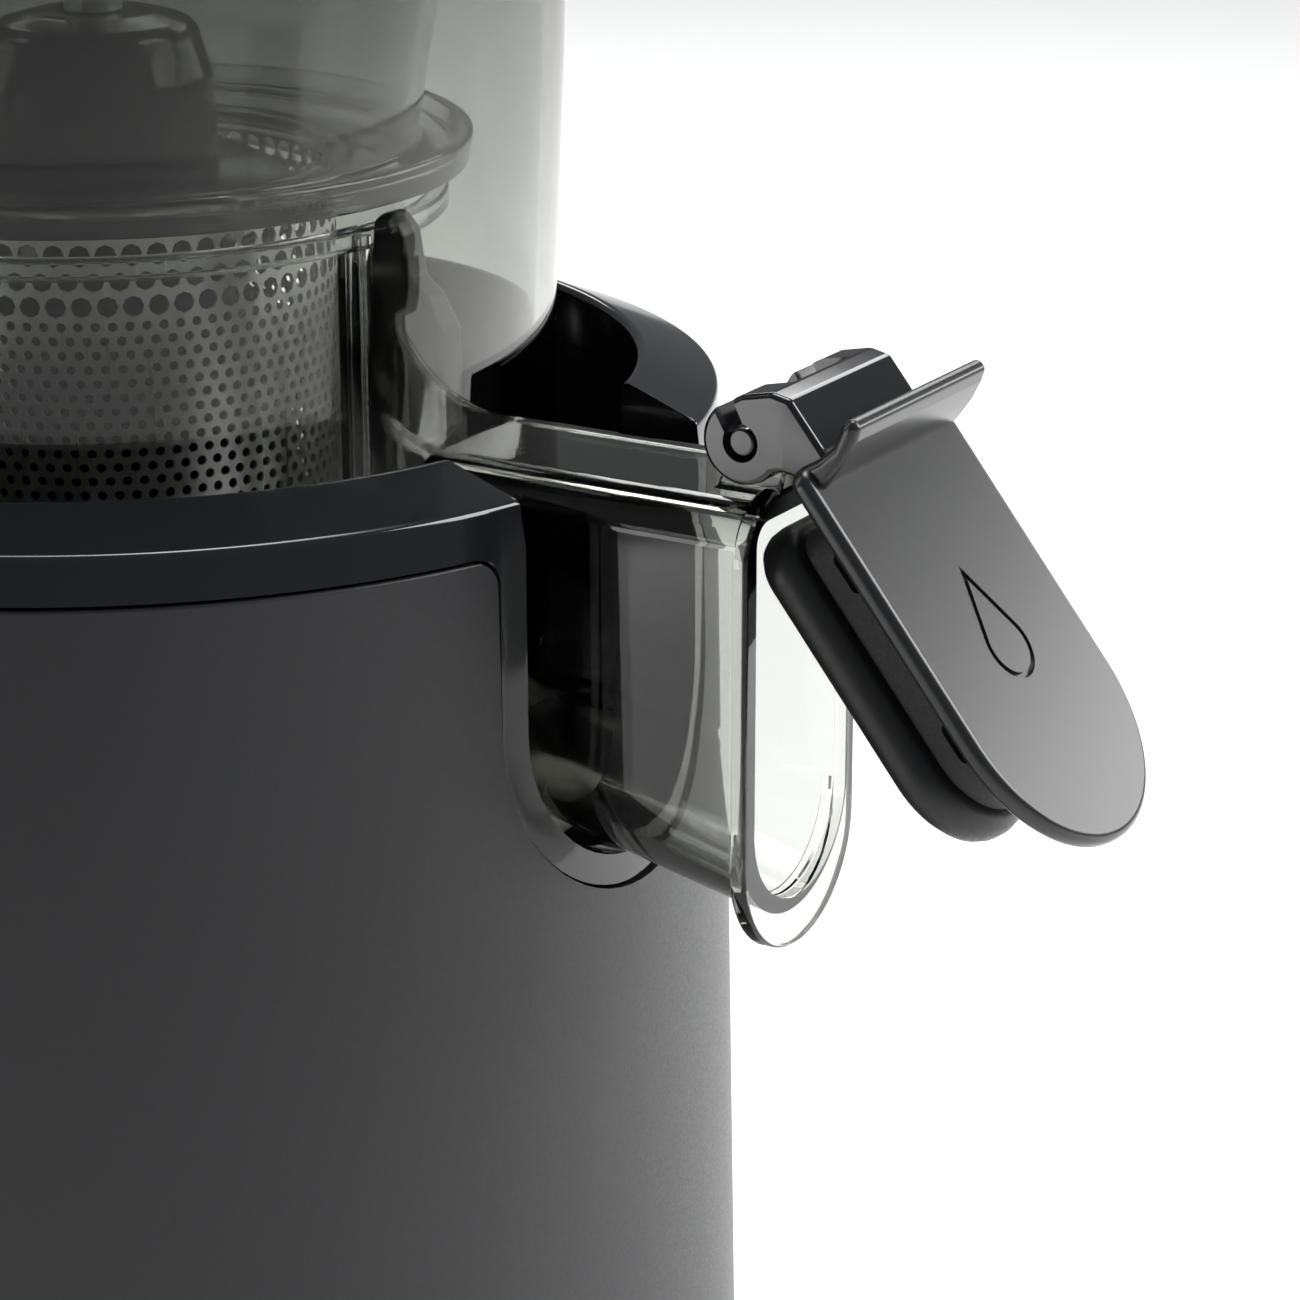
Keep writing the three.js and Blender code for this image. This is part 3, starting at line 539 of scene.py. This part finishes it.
def seam_outline(notch, gap):
    """A notch's seam: the band above the housing, turning down into a U beside the notch."""
    half = notch["half"] + notch["trim"] + gap
    seam = SEAM_Z + SEAM_GAP - gap
    top = SEAM_Z + 40
    foot = arc(0, notch["centre_z"], half, 180, 360, 32)
    right = arc(half + SEAM_CORNER, seam - SEAM_CORNER, SEAM_CORNER, 180, 90, 8)
    left = arc(-half - SEAM_CORNER, seam - SEAM_CORNER, SEAM_CORNER, 90, 0, 8)
    return foot + right + [(60, seam), (60, top), (-60, top), (-60, seam)] + left


def span(notch, near, far):
    """A notch's reach along Y, on its own side of the base."""
    return sorted((notch["side"] * near, notch["side"] * far))


def seam_tool(notch, gap):
    return slab("seam_tool", seam_outline(notch, gap), *span(notch, 55, 115), along_y)


def notch_tool(notch, near=40):
    outline = slot_outline(notch["half"], notch["centre_z"], SEAM_Z + 40)
    return slab("notch_tool", outline, *span(notch, near, 125), along_y)


def housing():
    wall = HOUSING["wall"]
    bottom = HOUSING["bottom_z"]
    shell = turned(
        "housing_shell",
        [
            (housing_r(bottom) - wall, bottom),
            (HOUSING["foot_r"] - 0.2, bottom, 1.6),
        ]
        + [(housing_r(z), z) for z in range(12, int(SEAM_Z) - 4, 6)]
        + [
            (housing_r(SEAM_Z), SEAM_Z, 0.5),
            (housing_r(SEAM_Z) - wall, SEAM_Z),
        ],
        256,
    )
    inlet_low, inlet_high = box_mm("power_inlet")
    inlet = slab(
        "inlet_tool",
        filleted(
            [
                (inlet_low.x - 0.3, inlet_low.z - 0.3, 1.5),
                (inlet_high.x + 0.3, inlet_low.z - 0.3, 1.5),
                (inlet_high.x + 0.3, inlet_high.z + 0.3, 1.5),
                (inlet_low.x - 0.3, inlet_high.z + 0.3, 1.5),
            ]
        ),
        70,
        110,
        along_y,
    )
    knob_z = sum(corner.z for corner in box_mm("control_knob")) / 2
    stem = slab("stem_tool", arc(0, knob_z, 6, 0, 345, 23), 70, 110, along_y)
    cut(shell, seam_tool(FRONT_NOTCH, 0.4), seam_tool(REAR_NOTCH, 0.4), inlet, stem)
    soften(shell, 0.45, 2, 50)
    return finished(shell, "base", "matte_charcoal", "housing", crease=40)


def collar():
    """The polished ring round the well, with a U-shaped trim that lines each notch."""
    sleeve = turned(
        "collar_ring",
        [
            (84.8, SEAM_Z - 60),
            (89.75, SEAM_Z - 60),
            (89.55, SEAM_Z),
            (RIDGE[0], RIDGE[1], 1.3),
            (WELL_R, SEAM_Z + 11.3, 1.1),
            (WELL_R, SEAM_Z + 2),
            (WELL_R + 3, SEAM_Z + 2),
            (84.8, SEAM_Z - 3),
        ],
        256,
    )
    below = turned(
        "below_tool",
        [(70, SEAM_Z - 80), (110, SEAM_Z - 80), (110, SEAM_Z + SEAM_GAP), (70, SEAM_Z + SEAM_GAP)],
        96,
    )
    cut(below, seam_tool(FRONT_NOTCH, 0), seam_tool(REAR_NOTCH, 0))
    cut(sleeve, below, notch_tool(FRONT_NOTCH), notch_tool(REAR_NOTCH))
    soften(sleeve, 0.9, 4, 50)
    return finished(sleeve, "base", "gloss_black", "collar", crease=40)


def well():
    """The wall of the well under the collar, and the tunnel behind each notch."""
    floor_z = box_mm("deck")[1].z - 1
    wall = turned(
        "well_wall",
        [(WELL_R, floor_z), (WELL_R + 2.5, floor_z), (WELL_R + 2.5, SEAM_Z + 1.8),
         (WELL_R, SEAM_Z + 1.8)],
    )
    cut(wall, notch_tool(FRONT_NOTCH), notch_tool(REAR_NOTCH))
    finished(wall, "base", "gloss_black")
    for notch, name in ((FRONT_NOTCH, "spout_tunnel"), (REAR_NOTCH, "pulp_tunnel")):
        outline = slot_outline(notch["half"] + 2.2, notch["centre_z"], SEAM_Z + 1.5)
        tunnel = slab(name, outline, *span(notch, 60, 100), along_y)
        tube = turned("tube_tool", [(78, 100), (84.6, 100), (84.6, 260), (78, 260)], 128)
        boolean(tunnel, tube, "INTERSECT")
        cut(tunnel, notch_tool(notch))
        finished(tunnel, "base", "gloss_black")


def knob():
    """A dial with a ribbed rim and a raised grip, on the back of the base."""
    low, high = box_mm("control_knob")
    centre_z = (low.z + high.z) / 2
    radius = (high.z - low.z) / 2
    ribs = 40
    rim = []
    for i in range(ribs * 4):
        reach = radius - (0.5 if i % 4 in (0, 1) else 0)
        angle = 2 * math.pi * i / (ribs * 4)
        rim.append((reach * math.cos(angle), centre_z + reach * math.sin(angle)))
    back = 95
    dial = slab("knob_dial", rim, back, back + 9.6, along_y, 0.8)
    grip = slab(
        "knob_grip",
        filleted([(-2.2, centre_z - 12.4, 2), (2.2, centre_z - 12.4, 2), (2.2, centre_z + 12.4, 2),
                  (-2.2, centre_z + 12.4, 2)]),
        back + 8,
        high.y,
        along_y,
        0.7,
    )
    stem = slab("knob_stem", arc(0, centre_z, 5, 0, 345, 23), 80, back + 1, along_y)
    finished(dial, "knob", "gloss_black", "control_knob")
    finished(stem, "knob", "gloss_black")
    finished(grip, "knob", "gloss_black", look=SATIN_BLACK)


# ---- Bowl and spout ----


def lofted(name, sections):
    """A closed duct between slot sections of (y, half, centre_z, top_z, corner)."""
    rings = [
        [(x, y, z) for x, z in slot_outline(half, centre_z, top_z, corner)]
        for y, half, centre_z, top_z, corner in sections
    ]
    points = [point for ring in rings for point in ring]
    return made(name, points, stack_faces(len(rings[0]), len(rings)))


def duct(name, shrink, near, far):
    half = SPOUT["half"] - shrink
    top = SPOUT["top_z"] - shrink
    corner = max(2.5, 5.5 - shrink)
    return lofted(
        name,
        [
            (-near, half, SPOUT["root_z"], top, corner),
            (-far, half, SPOUT["mouth_z"], top, corner),
        ],
    )


def bowl():
    """The clear bowl with its juice spout, in one moulding."""
    foot = box_mm("bowl")[0].z
    body = turned(
        "bowl_body",
        [(0, foot), (BOWL_R, foot, 2.5), (65.1, SEAM_Z + 9), (65.4, SEAM_Z + 22),
         (66.7, SEAM_Z + 55), (67.2, BOWL_TOP_Z, 0.8), (0, BOWL_TOP_Z)],
        256,
    )
    join(body, duct("duct_outer", 0, 58, 113.5))
    flange_outline = slot_outline(
        FLANGE["half"], FLANGE["bottom_z"] + FLANGE["half"], FLANGE["top_z"], 9
    )
    front = FLANGE["front_y"]
    join(body, slab("flange", flange_outline, front, front + 2.6, along_y, 0.7))
    join(body, hinge_lug())
    inner_foot = foot + 3
    hollow = turned(
        "hollow_tool",
        [(0, inner_foot), (62, inner_foot, 3), (62, SEAM_Z + 5), (62.3, SEAM_Z + 22),
         (63.6, SEAM_Z + 55), (64.2, BOWL_TOP_Z + 5), (0, BOWL_TOP_Z + 5)],
        256,
    )
    cut(body, hollow, duct("duct_inner", SPOUT["wall"], 59, 113.4))
    bore = slot_outline(SPOUT["half"] - SPOUT["wall"], SPOUT["mouth_z"] + 0.1, SPOUT["top_z"] - 2.3, 3.2)
    cut(body, slab("bore_tool", bore, front - 3, -112, along_y))
    shaft_hole = slab("shaft_tool", arc(0, 0, 11.6, 0, 354, 59), foot - 2, foot + 6, along_z)
    pulp_hole = slab("pulp_tool", slot_outline(11, SEAM_Z - 12, SEAM_Z - 1, 3), 45, 80, along_y)
    cut(body, shaft_hole, pulp_hole)
    return finished(body, "bowl", "smoke_clear", "bowl", "juice_spout", crease=30)


def hinge_lug():
    """The block on the spout's top that carries the hinge pin."""
    top = SPOUT["top_z"]
    outline = filleted(
        [
            (-105, top - 1),
            (-115.3, top - 1),
            (-117.4, HINGE_Z - 1.5, 2),
            (-116.2, HINGE_Z + 3, 2.4),
            (-111.4, HINGE_Z + 3, 2.4),
            (-109.6, HINGE_Z - 2, 2),
        ]
    )
    return slab("hinge_lug", outline, -7, 7, along_x, 0.5)


def hinge_pin():
    low, high = box_mm("hinge_pin")
    radius = (high.z - low.z) / 2
    pin = slab("pin", arc(HINGE_Y, HINGE_Z, radius, 0, 350, 35), low.x, high.x, along_x, 0.4)
    return finished(pin, "bowl", "gloss_black", "hinge_pin")


def pulp_outlet():
    """The hooded duct at the back that turns the pulp downwards."""

    def hood(name, shrink):
        crown, back = SEAM_Z + 3 - shrink, 121 - shrink
        reach = back - 98
        bend = arc(98, crown - 6 - reach, reach, 90, 0, 12)
        near = 61 if shrink else 63
        mouth = 158 if shrink else 160
        outline = [(near, 175 + shrink), (near, crown)] + bend
        outline += [(back, mouth), (99 + shrink, mouth), (97 + shrink, 170 + shrink)]
        half = 14.5 - shrink
        return slab(name, outline, -half, half, along_x, 0 if shrink else 2.2, 4)

    shell = cut(hood("pulp_hood", 0), hood("hood_tool", 2.5))
    tool = turned("bowl_tool", [(0, 100), (BOWL_R + 0.5, 100), (BOWL_R + 0.5, 260), (0, 260)], 128)
    cut(shell, tool)
    return finished(shell, "bowl", "smoke_clear", "pulp_outlet", crease=30)


# ---- Strainer ----


def plate_with_hole(name, width, height, hole_r):
    """One flat tile of the screen, with a round hole, lying in the plane x = 0."""
    rim = arc(0, 0, hole_r, 45, 360, 7)
    corners = [(width / 2, height / 2), (0, height / 2), (-width / 2, height / 2), (-width / 2, 0),
               (-width / 2, -height / 2), (0, -height / 2), (width / 2, -height / 2), (width / 2, 0)]
    points = [(0, a * MM, b * MM) for a, b in rim + corners]
    faces = [(i, (i + 1) % 8, 8 + (i + 1) % 8, 8 + i) for i in range(8)]
    mesh = bpy.data.meshes.new(name)
    mesh.from_pydata(points, [], faces)
    return link(name, mesh)


def tiling_tree():
    """Geometry Nodes: lays a tile in staggered rows round a cylinder."""
    tree = bpy.data.node_groups.new("staggered_tiles", "GeometryNodeTree")
    tree.interface.new_socket("Geometry", in_out="OUTPUT", socket_type="NodeSocketGeometry")
    sockets = [
        ("Tile", "NodeSocketObject"),
        ("Columns", "NodeSocketInt"),
        ("Rows", "NodeSocketInt"),
        ("Row Pitch", "NodeSocketFloat"),
        ("Radius", "NodeSocketFloat"),
        ("Top", "NodeSocketFloat"),
        ("Material", "NodeSocketMaterial"),
    ]
    for name, kind in sockets:
        tree.interface.new_socket(name, in_out="INPUT", socket_type=kind)
    source = tree.nodes.new("NodeGroupInput").outputs

    def step(operation, *values):
        node = tree.nodes.new("ShaderNodeMath")
        node.operation = operation
        for socket, value in zip(node.inputs, values):
            if isinstance(value, (int, float)):
                socket.default_value = value
            else:
                tree.links.new(value, socket)
        return node.outputs[0]

    count = step("MULTIPLY", source["Columns"], source["Rows"])
    line = tree.nodes.new("GeometryNodeMeshLine")
    tree.links.new(count, line.inputs["Count"])
    index = tree.nodes.new("GeometryNodeInputIndex").outputs[0]
    row = step("FLOOR", step("DIVIDE", step("ADD", index, 0.5), source["Columns"]))
    column = step("SUBTRACT", index, step("MULTIPLY", row, source["Columns"]))
    stagger = step("MULTIPLY", step("MODULO", row, 2.0), 0.5)
    share = step("DIVIDE", step("ADD", column, stagger), source["Columns"])
    angle = step("MULTIPLY", share, 2 * math.pi)
    place = tree.nodes.new("ShaderNodeCombineXYZ")
    tree.links.new(step("MULTIPLY", step("COSINE", angle), source["Radius"]), place.inputs["X"])
    tree.links.new(step("MULTIPLY", step("SINE", angle), source["Radius"]), place.inputs["Y"])
    height = step("SUBTRACT", source["Top"], step("MULTIPLY", step("ADD", row, 0.5), source["Row Pitch"]))
    tree.links.new(height, place.inputs["Z"])
    move = tree.nodes.new("GeometryNodeSetPosition")
    tree.links.new(line.outputs["Mesh"], move.inputs["Geometry"])
    tree.links.new(place.outputs[0], move.inputs["Position"])
    facing = tree.nodes.new("ShaderNodeCombineXYZ")
    tree.links.new(angle, facing.inputs["Z"])
    turn = tree.nodes.new("FunctionNodeEulerToRotation")
    tree.links.new(facing.outputs[0], turn.inputs[0])
    tile = tree.nodes.new("GeometryNodeObjectInfo")
    tree.links.new(source["Tile"], tile.inputs["Object"])
    lay = tree.nodes.new("GeometryNodeInstanceOnPoints")
    tree.links.new(move.outputs[0], lay.inputs["Points"])
    tree.links.new(tile.outputs["Geometry"], lay.inputs["Instance"])
    tree.links.new(turn.outputs[0], lay.inputs["Rotation"])
    real = tree.nodes.new("GeometryNodeRealizeInstances")
    tree.links.new(lay.outputs[0], real.inputs[0])
    paint = tree.nodes.new("GeometryNodeSetMaterial")
    tree.links.new(real.outputs[0], paint.inputs["Geometry"])
    tree.links.new(source["Material"], paint.inputs["Material"])
    result = tree.nodes.new("NodeGroupOutput")
    tree.links.new(paint.outputs[0], result.inputs[0])
    return tree


def perforated_band(tree, name, columns, rows, pitch, hole_r, top):
    """A band of the screen, from its top edge down, as a plain mesh with a wall."""
    width = 2 * SCREEN_R * math.tan(math.pi / columns)
    tile = plate_with_hole(name + "_tile", width, pitch, hole_r)
    band = link(name, bpy.data.meshes.new(name))
    modifier = band.modifiers.new("tiles", "NODES")
    modifier.node_group = tree
    values = {
        "Tile": tile,
        "Columns": columns,
        "Rows": rows,
        "Row Pitch": pitch * MM,
        "Radius": SCREEN_R * MM,
        "Top": top * MM,
        "Material": LOOKS["steel"],
    }
    for item in tree.interface.items_tree:
        if item.in_out == "INPUT" and item.name in values:
            modifier[item.identifier] = values[item.name]
    settle(band)
    bpy.data.objects.remove(tile)
    for vertex in band.data.vertices:
        vertex.co.xy = vertex.co.xy.normalized() * SCREEN_R * MM
    band.data.transform(Matrix.Translation((0, AXIS_Y, 0)))
    tidy(band.data)
    wall = band.modifiers.new("wall", "SOLIDIFY")
    wall.thickness = 0.5 * MM
    wall.offset = 0
    return settle(band)


def strainer():
    tree = tiling_tree()
    coarse_rows, coarse_pitch = 4, 3.6
    fine_pitch = 2.0
    coarse_top = SCREEN_TOP_Z - 1
    fine_top = coarse_top - coarse_rows * coarse_pitch
    fine_rows = int((fine_top - AUGER_FLOOR_Z - 1) / fine_pitch)
    coarse = perforated_band(
        tree, "screen_coarse", columns=60, rows=coarse_rows, pitch=coarse_pitch, hole_r=1.5, top=coarse_top
    )
    fine = perforated_band(
        tree, "screen_fine", columns=90, rows=fine_rows, pitch=fine_pitch, hole_r=0.72, top=fine_top
    )
    finished(coarse, "bowl", "steel", "strainer_screen")
    finished(fine, "bowl", "steel")
    ledge = SCREEN_TOP_Z
    cup = turned(
        "strainer_cup_wall",
        [
            (SCREEN_R + 0.5, ledge - 3.2),
            (SCREEN_R + 2.2, ledge - 3.2, 0.5),
            (SCREEN_R + 2.6, ledge, 1),
            (52.9, ledge, 0.6),
            (53.8, ledge + 4.8, 0.7),
            (51.6, ledge + 4.9, 0.5),
            (50.4, ledge + 2.4, 1),
            (45.4, ledge + 2.6, 1.5),
            (50.6, BOWL_TOP_Z - 10, 3),
            (63.4, BOWL_TOP_Z - 2, 1),
            (63.4, BOWL_TOP_Z + 0.4),
            (67, BOWL_TOP_Z + 0.4, 0.3),
            (67, BOWL_TOP_Z + 2.2, 0.8),
            (60.2, BOWL_TOP_Z + 0.8, 2),
            (48.6, BOWL_TOP_Z - 8.4, 3),
            (43.3, ledge + 2.2, 2),
            (32.6, ledge + 2.2, 0.5),
            (32.6, ledge),
            (SCREEN_R + 0.5, ledge),
        ],
    )
    finished(cup, "bowl", "smoke_clear", "strainer_cup", look=CUP_SMOKE)


# ---- Brush and auger ----


def wiper_outline():
    """A silicone wiper seen from its side, as (reach, z) points: a tongue, a nose and a waisted body."""
    z = SEAM_Z
    return filleted(
        [
            (48.2, z - 23.5),
            (55, z - 22, 2),
            (60.8, z - 12, 2),
            (60.8, z - 2, 1.5),
            (57.6, z + 2, 1.2),
            (58.2, z + 6, 1),
            (61, z + 9, 1.6),
            (61, z + 23, 3),
            (58.6, z + 27.5, 2),
            (56, z + 29.5, 2),
            (55, z + 36, 2),
            (52.4, z + 38.7, 1.6),
            (50.2, z + 37, 2),
            (49.2, z + 26, 2),
            (48.2, z + 20, 2),
        ]
    )


def brush():
    inner, outer = BRUSH_RING_R
    low, high = BRUSH_LOW_Z, BRUSH_HIGH_Z
    lower_ring = turned(
        "brush_lower_ring",
        [(BRUSH_HUB_R, low), (outer, low, 0.5), (outer, low + 5, 0.5), (inner, low + 5, 0.5),
         (inner, low + 1.6), (BRUSH_HUB_R, low + 1.6)],
        128,
    )
    upper_ring = turned(
        "brush_upper_ring",
        [(inner, high - 3, 0.5), (outer, high - 3, 0.5), (outer, high, 0.5), (inner, high, 0.5)],
        128,
    )
    finished(lower_ring, "brush", "smoke_clear", look=BRUSH_CLEAR)
    finished(upper_ring, "brush", "smoke_clear", look=BRUSH_CLEAR)
    for i in range(3):
        angle = math.radians(BRUSH_FIRST_ANGLE + 120 * i)
        turn = (
            Matrix.Translation((0, AXIS_Y, 0))
            @ Matrix.Rotation(angle + math.pi / 2, 4, "Z")
            @ Matrix.Translation((0, -AXIS_Y, 0))
        )
        outline = [(-reach, z) for reach, z in wiper_outline()]
        wiper = slab(f"wiper_{i + 1}", outline, -2.3, 2.3, along_x, 0.8)
        wiper.data.transform(turn)
        finished(wiper, "brush", "silicone_black", f"brush_wiper_{i + 1}")
        bar = slab(
            f"brush_bar_{i + 1}",
            [(-inner, low + 1), (-outer + 0.2, low + 1), (-outer + 0.2, high - 1), (-inner, high - 1)],
            -4.5,
            -1.9,
            along_x,
            0.4,
        )
        bar.data.transform(turn)
        finished(bar, "brush", "smoke_clear", look=BRUSH_CLEAR)
        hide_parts("brush_frame")


def auger_flight():
    """The auger's screw: a ribbon wound round the core, from a wide foot to a fine top."""
    turns, steps = 2.4, 160
    low, high = AUGER_FLOOR_Z + 6, SEAM_Z + 50
    points = []
    for i in range(steps + 1):
        share = i / steps
        angle = share * turns * 2 * math.pi
        lift = low + share * (high - low - 7)
        reach = 31 - 10 * max(0, share - 0.55)
        section = filleted([(9, 0), (reach, 2.2, 1), (reach, 5.2, 1), (9, 7)], 3)
        points += [(r * math.cos(angle), r * math.sin(angle), lift + z) for r, z in section]
    return made("auger_flight", points, stack_faces(len(section), steps + 1))


def auger():
    foot = AUGER_FLOOR_Z
    core = turned(
        "auger_core",
        [(0, foot + 28), (9, foot + 28), (9, foot - 6), (10, foot - 6), (10, foot), (30.5, foot, 1),
         (30.5, foot + 4.4, 1.5), (25, foot + 8.4, 2), (21, 205, 6), (17.4, 228, 10),
         (16.8, 252, 4), (14.5, 259.5, 3), (9, 261, 2), (0, 261)],
        128,
    )
    finished(core, "auger", "auger_black", "auger")
    finished(auger_flight(), "auger", "auger_black")


# ---- Spout cap ----


def cap_yz(n, d):
    """A place on the shut cap, from its distance out from the hinge and down from it."""
    return (HINGE_Y - n, HINGE_Z - d)


def cap_plate():
    """The cap's plate, with a drop engraved in its face."""
    foot_z = HINGE_Z - CAP["top"] - CAP["length"]
    outline = slot_outline(CAP["half"], foot_z + CAP["half"], HINGE_Z - CAP["top"], 2.5, 48)
    face = HINGE_Y - CAP["face"]
    plate = slab("cap_face", outline, face, face + CAP["thick"], along_y, 1.2, 5)
    drop = drop_outline(radius=4.9, centre_d=40.3, tip_d=28.2)
    groove = slab("groove", drop, face - 2, face + 0.55, along_y)
    island = slab("island", inset(drop, 0.85), face - 3, face + 3, along_y)
    cut(groove, island)
    cut(plate, groove)
    return plate


def drop_outline(radius, centre_d, tip_d):
    """A drop as (x, z) points, its tip towards the hinge."""
    reach = centre_d - tip_d
    lean = math.degrees(math.asin(radius / reach))
    centre_z = HINGE_Z - centre_d
    around = arc(0, centre_z, radius, 180 - lean, 360 + lean, 36)
    return around + [(0, HINGE_Z - tip_d)]


def cap_lip():
    """The finger lip: the plate's top edge curls out across the cap's width."""
    face, top = CAP["face"], CAP["top"]
    inner = [(face - 2.6, top + 3.6), (face - 2.8, top + 0.8), (face - 1.2, top - 0.1),
             (face + 1.6, top + 0.3)]
    outer = [(face + 4.6, top + 0.1), (face + 7.4, top - 1.5, 0.5), (face + 9.2, top - 1.6, 1),
             (face + 9.4, top + 0.2, 1), (face + 7.8, top + 1.3, 0.6)]
    under = [(face + 5, top + 2.6), (face + 2.2, top + 3.4), (face - 0.2, top + 4)]
    outline = [cap_yz(n, d) for n, d in filleted(inner + outer + under, 5)]
    half = 18.3
    return slab("cap_lip", outline, -half, half, along_x, 1.1, 4)


def cap_arm():
    """The hinge block: two clips on the pin, carrying the plate."""
    half = 14
    outline = filleted(
        [(0, -5.6, 2), (4, -5, 2), (8, -3, 2), (9.8, -0.8, 1.5), (CAP["face"] + 0.6, 8, 1), (6.6, 10.5),
         (2.6, 6.2, 1.2), (0, 5)],
    )
    arm = slab("cap_hinge_block", [cap_yz(n, d) for n, d in outline], -half, half, along_x, 0.8, 3)
    barrel = slab("barrel", arc(HINGE_Y, HINGE_Z, 5.7, 0, 355, 71), -half, half, along_x, 0.7, 3)
    join(arm, barrel)
    hole = slab("pin_tool", arc(HINGE_Y, HINGE_Z, 2.6, 0, 350, 35), -20, 20, along_x)
    mouth = slab(
        "mouth_tool",
        [(HINGE_Y + y, HINGE_Z + z) for y, z in ((-0.5, -1.5), (-0.5, 1.5), (9, 1.7), (9, -1.7))],
        -20,
        20,
        along_x,
    )
    turn_about_hinge(mouth, math.radians(100))
    room = slab("lug_tool", arc(HINGE_Y, HINGE_Z, 8.4, 0, 350, 35), -7.6, 7.6, along_x)
    cut(arm, hole, mouth, room)
    return arm


def cap():
    finished(opened(cap_plate()), "cap", "gloss_black", "cap_plate", look=SATIN_BLACK, crease=35)
    finished(opened(cap_arm()), "cap", "gloss_black", crease=35)
    finished(opened(cap_lip()), "cap", "gloss_black", look=SATIN_BLACK, crease=50)
    back = HINGE_Y - CAP["face"] + CAP["thick"]
    low_z, high_z = HINGE_Z - 58.5, HINGE_Z - 14
    neck_half = 10.2
    neck_outline = slot_outline(neck_half, low_z + neck_half, high_z, 4)
    neck = slab("cap_neck", neck_outline, back + 0.1, back + 12, along_y)
    for d in (21.5, 47.5):
        window = slab(
            "window_tool",
            filleted([(back + 3, HINGE_Z - d - 3, 1), (back + 6.4, HINGE_Z - d - 3, 1),
                      (back + 6.4, HINGE_Z - d + 3, 1), (back + 3, HINGE_Z - d + 3, 1)]),
            -20,
            20,
            along_x,
        )
        cut(neck, window)
    opened(neck)
    finished(neck, "cap", "silicone_black", "cap_plug", look=GRAINED_RUBBER)
    sections = [(9.4, 0.2), (10.2, 1.2), (11.2, 2.0), (12.6, 2.4), (14.2, 2.3), (15.4, 1.8), (16.2, 0.9),
                (16.5, 0)]
    rings = []
    for depth, swell in sections:
        half = neck_half + swell
        rings.append((back + depth, half, low_z + neck_half, high_z + swell, 4 + swell))
    seal = lofted("cap_seal_lip", rings)
    opened(seal)
    finished(seal, "cap", "silicone_black", "cap_seal", crease=50)


# ---- Hopper and pusher ----


def hopper():
    skirt = 67.7
    chute = CHUTE_R
    top = HOPPER_TOP_Z
    shell = turned(
        "hopper_shell",
        [
            (skirt, BOWL_TOP_Z - 6, 0.5),
            (skirt + 3, BOWL_TOP_Z - 6, 1),
            (skirt + 3, BOWL_TOP_Z + 5, 4),
            (skirt, BOWL_TOP_Z + 9, 3),
            (chute + 8, BOWL_TOP_Z + 15, 8),
            (chute + 2.6, BOWL_TOP_Z + 24, 10),
            (chute + 2.2, top - 16, 8),
            (chute + 8, top - 4, 4),
            (chute + 8.4, top, 0.8),
            (chute + 6, top, 0.8),
            (chute, top - 14, 8),
            (chute, BOWL_TOP_Z + 22, 8),
            (chute + 6, BOWL_TOP_Z + 12.5, 6),
            (skirt - 2, BOWL_TOP_Z + 6, 2),
            (skirt, BOWL_TOP_Z + 3),
        ],
    )
    finished(shell, "hopper", "smoke_clear", "hopper")


def pusher():
    chute = CHUTE_R
    top = HOPPER_TOP_Z
    body = turned(
        "pusher_body",
        [(0, 318), (chute - 1.6, 318, 2.5), (chute - 1, top - 16, 6), (chute + 3.2, top - 4, 3),
         (chute + 4, top + 6, 3), (chute, top + 11, 4), (chute - 10, top + 13, 3),
         (chute - 18, top + 9, 2), (chute - 19, 340, 2), (0, 336)],
    )
    finished(body, "pusher", "matte_charcoal", "pusher")
    handle = turned(
        "pusher_handle",
        [(0, 337), (20, 340.5, 2), (20, top + 16, 5), (24, top + 24, 3), (21, top + 29, 3),
         (0, top + 30)],
    )
    finished(handle, "pusher", "gloss_black", "pusher_knob")


camera()
studio()
dress_cad_nodes()
housing()
collar()
well()
knob()
bowl()
hinge_pin()
pulp_outlet()
strainer()
brush()
auger()
cap()
hopper()
pusher()
